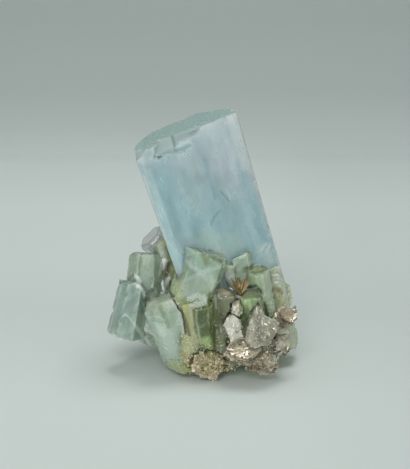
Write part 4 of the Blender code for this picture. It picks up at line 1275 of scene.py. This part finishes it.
def book_place(middle, yaw, pitch):
    """Lays local Z, across the sheets, yaw degrees right of the front and pitch degrees up."""
    a, b = math.radians(yaw), math.radians(pitch)
    face = Vector((math.sin(a) * math.cos(b), -math.cos(a) * math.cos(b), math.sin(b)))
    wide = Vector((math.cos(a), math.sin(a), 0.0))
    return Matrix.Translation(middle) @ Matrix((wide, face.cross(wide), face)).transposed().to_4x4()


def mica_sheets(material):
    """The mica books, sheet by sheet, with loose flakes on their edges."""
    tree = book_tree(material)
    parts = []
    for number, (middle, yaw, pitch, thick, shape, curl, brown, flaky) in enumerate(MICA_BOOKS):
        outline = list(shape) if len(shape) > 3 else uneven_outline(*shape, random.Random(number))
        sheets = max(3, int(thick / SHEET_STEP))
        sheet = as_object(sheet_mesh(outline, SHEET_STEP * 0.8, random.Random(60 + number)), "sheet")
        bm = grow(sheet, tree, Sheets=sheets, Step=thick / sheets, Curl=curl, Seed=number)
        tone = bm.verts.layers.float.new("tone")
        crumb = bm.verts.layers.float.new("crumb")
        for v in bm.verts:
            v[tone] = max(0.0, min(1.0, brown + 0.5 * rough(v.co, 2.0, number)))
            v[crumb] = flaky
        bm.transform(book_place(Vector(middle), yaw, pitch) @ Matrix.Translation((0.0, 0.0, -thick / 2.0)))
        parts.append(bm)
    whole = as_object(join(parts), "books")
    tree = scatter_tree("flakes", material, True)
    small = {"Spacing": 0.62, "Smallest": 0.35, "Largest": 1.0, "Tilt": 0.75, "Uneven": 0.06, "Seed": 2}
    large = {"Spacing": 1.3, "Smallest": 0.9, "Largest": 1.7, "Tilt": 0.95, "Uneven": 0.22, "Seed": 5}
    flakes = [grow(copy_of(whole), tree, **sizes) for sizes in (small, large)]
    bm = join([mesh_of(whole), *flakes])
    # Nothing stands out of the box of the CAD nodes.
    low, high = [Vector(corner) / MM + ORIGIN for corner in first_bounds]
    for v in bm.verts:
        v.co = Vector([max(a, min(b, c)) for a, b, c in zip(low, high, v.co)])
    return as_piece(bm, "mica_sheets", "mica_books", material)


def albite_grains(material):
    """The albite crust: a core of fine grains under coarser blocky ones."""
    core = clean_copy("albite_crust")
    refine(core, ((tree_of([v.co for v in core.verts]), 0.5),), 0.5)
    crumb = core.verts.layers.float.new("crumb")
    for v in core.verts:
        v.co -= v.normal * (0.32 + 0.45 * rough(v.co, 1.6, 1.0))
        v[crumb] = 1.0
    # Grains also spill on to the beryls around the crust.
    around = clean_copy("green_beryl_cluster")
    border = tree_of([v.co for v in core.verts])
    refine(around, ((border, 0.4),), 30.0)
    crumb = around.verts.layers.float.new("crumb")
    for v in around.verts:
        low = smooth_step(7.0, 4.5, v.co.z)
        v[crumb] = 0.9 * near(border, v.co, 2.2) * low * smooth_step(-0.3, 0.4, rough(v.co, 1.5, 3.0))
    parts = [core.copy()]
    for number, (spacing, small, large) in enumerate(ALBITE_GRAINS):
        tree = scatter_tree("grains", material, False)
        sizes = {"Spacing": spacing, "Smallest": small, "Largest": large, "Uneven": 0.14}
        for ground in (core, around):
            parts.append(grow(as_object(ground.copy(), "ground"), tree, Tilt=ANY_WAY, Seed=number, **sizes))
    core.free()
    around.free()
    bm = join(parts)
    keep_above_ground(bm)
    return as_piece(bm, "albite_grains", "albite_crust", material)


def rusty_blades(material):
    """The spray: narrow pointed blades, each thin and a little bent, that fan out of one root."""
    bm = bmesh.new()
    rows = []
    for share, wide in BLADE_WIDTHS:
        bend = 0.25 * share * share
        corners = ((-wide, -0.05), (wide, -0.05), (wide, 0.05), (-wide, 0.05))
        rows.append([bm.verts.new((x, y + bend, RUST_LENGTH * share)) for x, y in corners])
    for low, high in zip(rows, rows[1:]):
        bridge(bm, low, high)
    bm.faces.new(rows[0][::-1])
    bm.faces.new(rows[-1])
    fan = grow(as_object(bm, "blade"), spray_tree(material), Blades=54, Seed=3)
    fan.transform(Matrix.Translation(RUST_ROOT))
    return as_piece(fan, "rusty_blades", "rusty_spray", material)


def clear_beryl(material):
    """The small clear beryl: rounded at its rims, with painted shade that makes them darker than its faces.
    """
    bm = clean_copy("clear_crystal")
    bm = bevelled(bevelled(bm, 0.55, 14.0), 0.18, 14.0)
    ridges = tree_of(spots_along(edge_lines(bm, True, SHARP), 0.2))
    refine(bm, ((ridges, 0.25),), 0.8)
    tint = bm.verts.layers.float_color.new("tint")
    for v in bm.verts:
        # Painted shade: the tint darkens towards the rims.
        v[tint] = blend(linear("#ffffff"), linear("#aeb7b3"), near(ridges, v.co, 0.45))
        v.co += v.normal * (0.07 * rough(v.co, 2.0, 1.0) - 0.05)
    return as_piece(bm, "clear_beryl", "clear_crystal", material, 30.0)


# ---- the finished pieces

blue = beryl_material(
    "blue beryl, natural crystal", absorption="#8fd0dc", density=26.0, transmission=0.34, clouds="#d8e8e6",
    cloudy=0.6, patchy=0.03, turn=TALL_OWN.to_euler(), drawn_out=3.0, glow=(0.005, 0.0055, 0.0055),
)
green = beryl_material(
    "green beryl, natural crystals", absorption="#b9cc98", density=30.0, transmission=0.36, clouds="#e2ede2",
    cloudy=0.7, patchy=0.11, turn=(0.0, 0.0, 0.0), drawn_out=1.7, glow=(0.0026, 0.0026, 0.0024),
)
albite = grain_material(
    "albite, granular crust",
    ((0.3, "#5f672b"), (0.42, "#93935a"), (0.52, "#b7a887"), (0.64, "#cbbda3"), (0.8, "#e2dac8")),
    roughness=0.5, patches=3.03,
)
rusty = grain_material(
    "rusty mica blades", ((0.25, "#33260f"), (0.42, "#5c4826"), (0.58, "#7f6840"), (0.75, "#b29f74")),
    roughness=0.4, patches=1.111,
)
tall_aquamarine(blue)
small_beryls(green, crumb_material())
clear_beryl(clear_beryl_material())
mica_sheets(mica_material())
albite_grains(albite)
rusty_blades(rusty)


# ---- studio

# The camera looks at this height above the middle of the ground, from this far away; both in millimetres.
TARGET_HEIGHT = 30.0
CAMERA_DISTANCE = 246.0
LENS = 85.0
SENSOR = 36.0
# The backdrop: half its width, where it begins and starts to rise, the radius of its sweep and its height.
PAPER_HALF = 700.0
PAPER_BEGINS = -500.0
PAPER_RISES = 270.0
PAPER_SWEEP = 60.0
PAPER_HEIGHT = 700.0
SWEEP_STEPS = 24
# Painted light falloff on the paper, from its foot to its top: lighter on the floor behind the specimen,
# greyer up the sweep.
PAPER_FALLOFF_STOPS = (
    (0.0, "#d9e1de"), (0.034, "#e2eae7"), (0.097, "#ecf4f1"), (0.165, "#ecf4f1"), (0.183, "#e6eeec"),
    (0.205, "#dae2e0"), (0.24, "#cdd5d3"), (0.28, "#c4ccca"), (0.331, "#bcc4c2"), (0.4, "#b9c1bf"),
    (0.5, "#b7bfbd"), (1.0, "#b2bab7"),
)
# Lights: name, place, the spot that it faces, width, height and watts.
LIGHTS = (
    ("top_softbox", (60.0, 0.0, 490.0), (0.0, 0.0, 0.0), 190.0, 190.0, 0.72),
    ("front_fill", (-70.0, -430.0, 90.0), (0.0, 0.0, 10.0), 300.0, 170.0, 0.56),
    ("high_fill", (-64.0, -370.0, 285.0), (0.0, 0.0, 10.0), 170.0, 120.0, 0.5),
    ("left_strip", (-220.0, -260.0, 260.0), (0.0, 0.0, 20.0), 8.0, 110.0, 0.02),
    ("right_strip", (230.0, -220.0, 230.0), (0.0, 0.0, 20.0), 8.0, 110.0, 0.02),
)
ROOM_COLOUR = "#dfe6e4"
ROOM_STRENGTH = 0.42


def paper_material():
    """Matt paper with painted light falloff, greyer with height."""
    paper, add, shader = new_material("backdrop paper with painted light falloff", Roughness=0.9, Specular_IOR_Level=0.15)
    coords = add(COORDS, {}).outputs["Object"]
    place = add("ShaderNodeSeparateXYZ", {}, coords)
    side, depth, height = (place.outputs[name] for name in "XYZ")
    # How far up the sheet: the flat part counts from 40 mm behind the specimen, at an eighth of its length.
    behind = add(MATH, SUBTRACT, depth, 0.04)
    behind = add(MATH, {"operation": "MAXIMUM"}, behind, 0.0)
    up = add(MATH, MULTIPLY, height, 0.75)
    up = add(MATH, ADD, up, add(MATH, MULTIPLY, behind, 0.125))
    colour = add(RAMP, {}, add(RANGE, {}, Value=up, From_Max=0.16))
    set_stops(colour, PAPER_FALLOFF_STOPS)
    # The painted falloff also greys it a little towards the front edge and, on the flat part, towards the
    # right.
    front = add(RANGE, {}, Value=depth, From_Min=-0.02, From_Max=-0.11, To_Min=1.0, To_Max=0.86)
    right = add(RANGE, {}, Value=side, From_Min=0.01, From_Max=0.05, To_Max=0.07)
    flat = add(RANGE, {}, Value=height, From_Max=0.01, To_Min=1.0, To_Max=0.0)
    darker = add(MATH, SUBTRACT, 1.0, add(MATH, MULTIPLY, right, flat))
    shade = add(MATH, MULTIPLY, front, darker)
    connect(shader, Base_Color=add(MIX, DARKEN, 1.0, colour, shade))
    return paper


def backdrop():
    """Pale paper that lies flat and sweeps up behind the specimen."""
    profile = [(PAPER_BEGINS, 0.0), (-200.0, 0.0), (PAPER_RISES, 0.0)]
    for k in range(1, SWEEP_STEPS + 1):
        a = math.pi / 2.0 * k / SWEEP_STEPS
        profile.append((PAPER_RISES + PAPER_SWEEP * math.sin(a), PAPER_SWEEP * (1.0 - math.cos(a))))
    profile.append((PAPER_RISES + PAPER_SWEEP, PAPER_HEIGHT))
    bm = bmesh.new()
    rows = [[bm.verts.new((x * MM, y * MM, z * MM)) for x in (-PAPER_HALF, PAPER_HALF)] for y, z in profile]
    for low, high in zip(rows, rows[1:]):
        face = bm.faces.new((low[0], low[1], high[1], high[0]))
        face.smooth = True
    obj = as_object(bm, "backdrop")
    obj.data.materials.append(paper_material())


def studio():
    """The backdrop, the lights and the soft light of the room."""
    backdrop()
    for name, place, aim, wide, high, watts in LIGHTS:
        light = bpy.data.lights.new(name, "AREA")
        light.shape = "RECTANGLE"
        light.size = wide * MM
        light.size_y = high * MM
        light.energy = watts
        obj = bpy.data.objects.new(name, light)
        obj.location = Vector(place) * MM
        obj.rotation_euler = (Vector(aim) - Vector(place)).to_track_quat("-Z", "Y").to_euler()
        bpy.context.scene.collection.objects.link(obj)
    world = bpy.data.worlds.new("room")
    world.use_nodes = True
    background = world.node_tree.nodes["Background"]
    background.inputs["Color"].default_value = linear(ROOM_COLOUR)
    background.inputs["Strength"].default_value = ROOM_STRENGTH
    bpy.context.scene.world = world


def camera():
    """The camera in front, looking down by the rise of the view."""
    data = bpy.data.cameras.new("camera")
    data.lens = LENS
    data.sensor_width = SENSOR
    data.clip_start = 0.01
    data.clip_end = 10.0
    obj = bpy.data.objects.new("camera", data)
    bpy.context.scene.collection.objects.link(obj)
    target = Vector((0.0, 0.0, TARGET_HEIGHT)) - ORIGIN
    obj.location = (target - FRONT_IN * CAMERA_DISTANCE) * MM
    obj.rotation_mode = "QUATERNION"
    obj.rotation_quaternion = FRONT_IN.to_track_quat("-Z", "Y")
    bpy.context.scene.camera = obj


studio()
camera()
bpy.context.scene.view_settings.view_transform = "Standard"
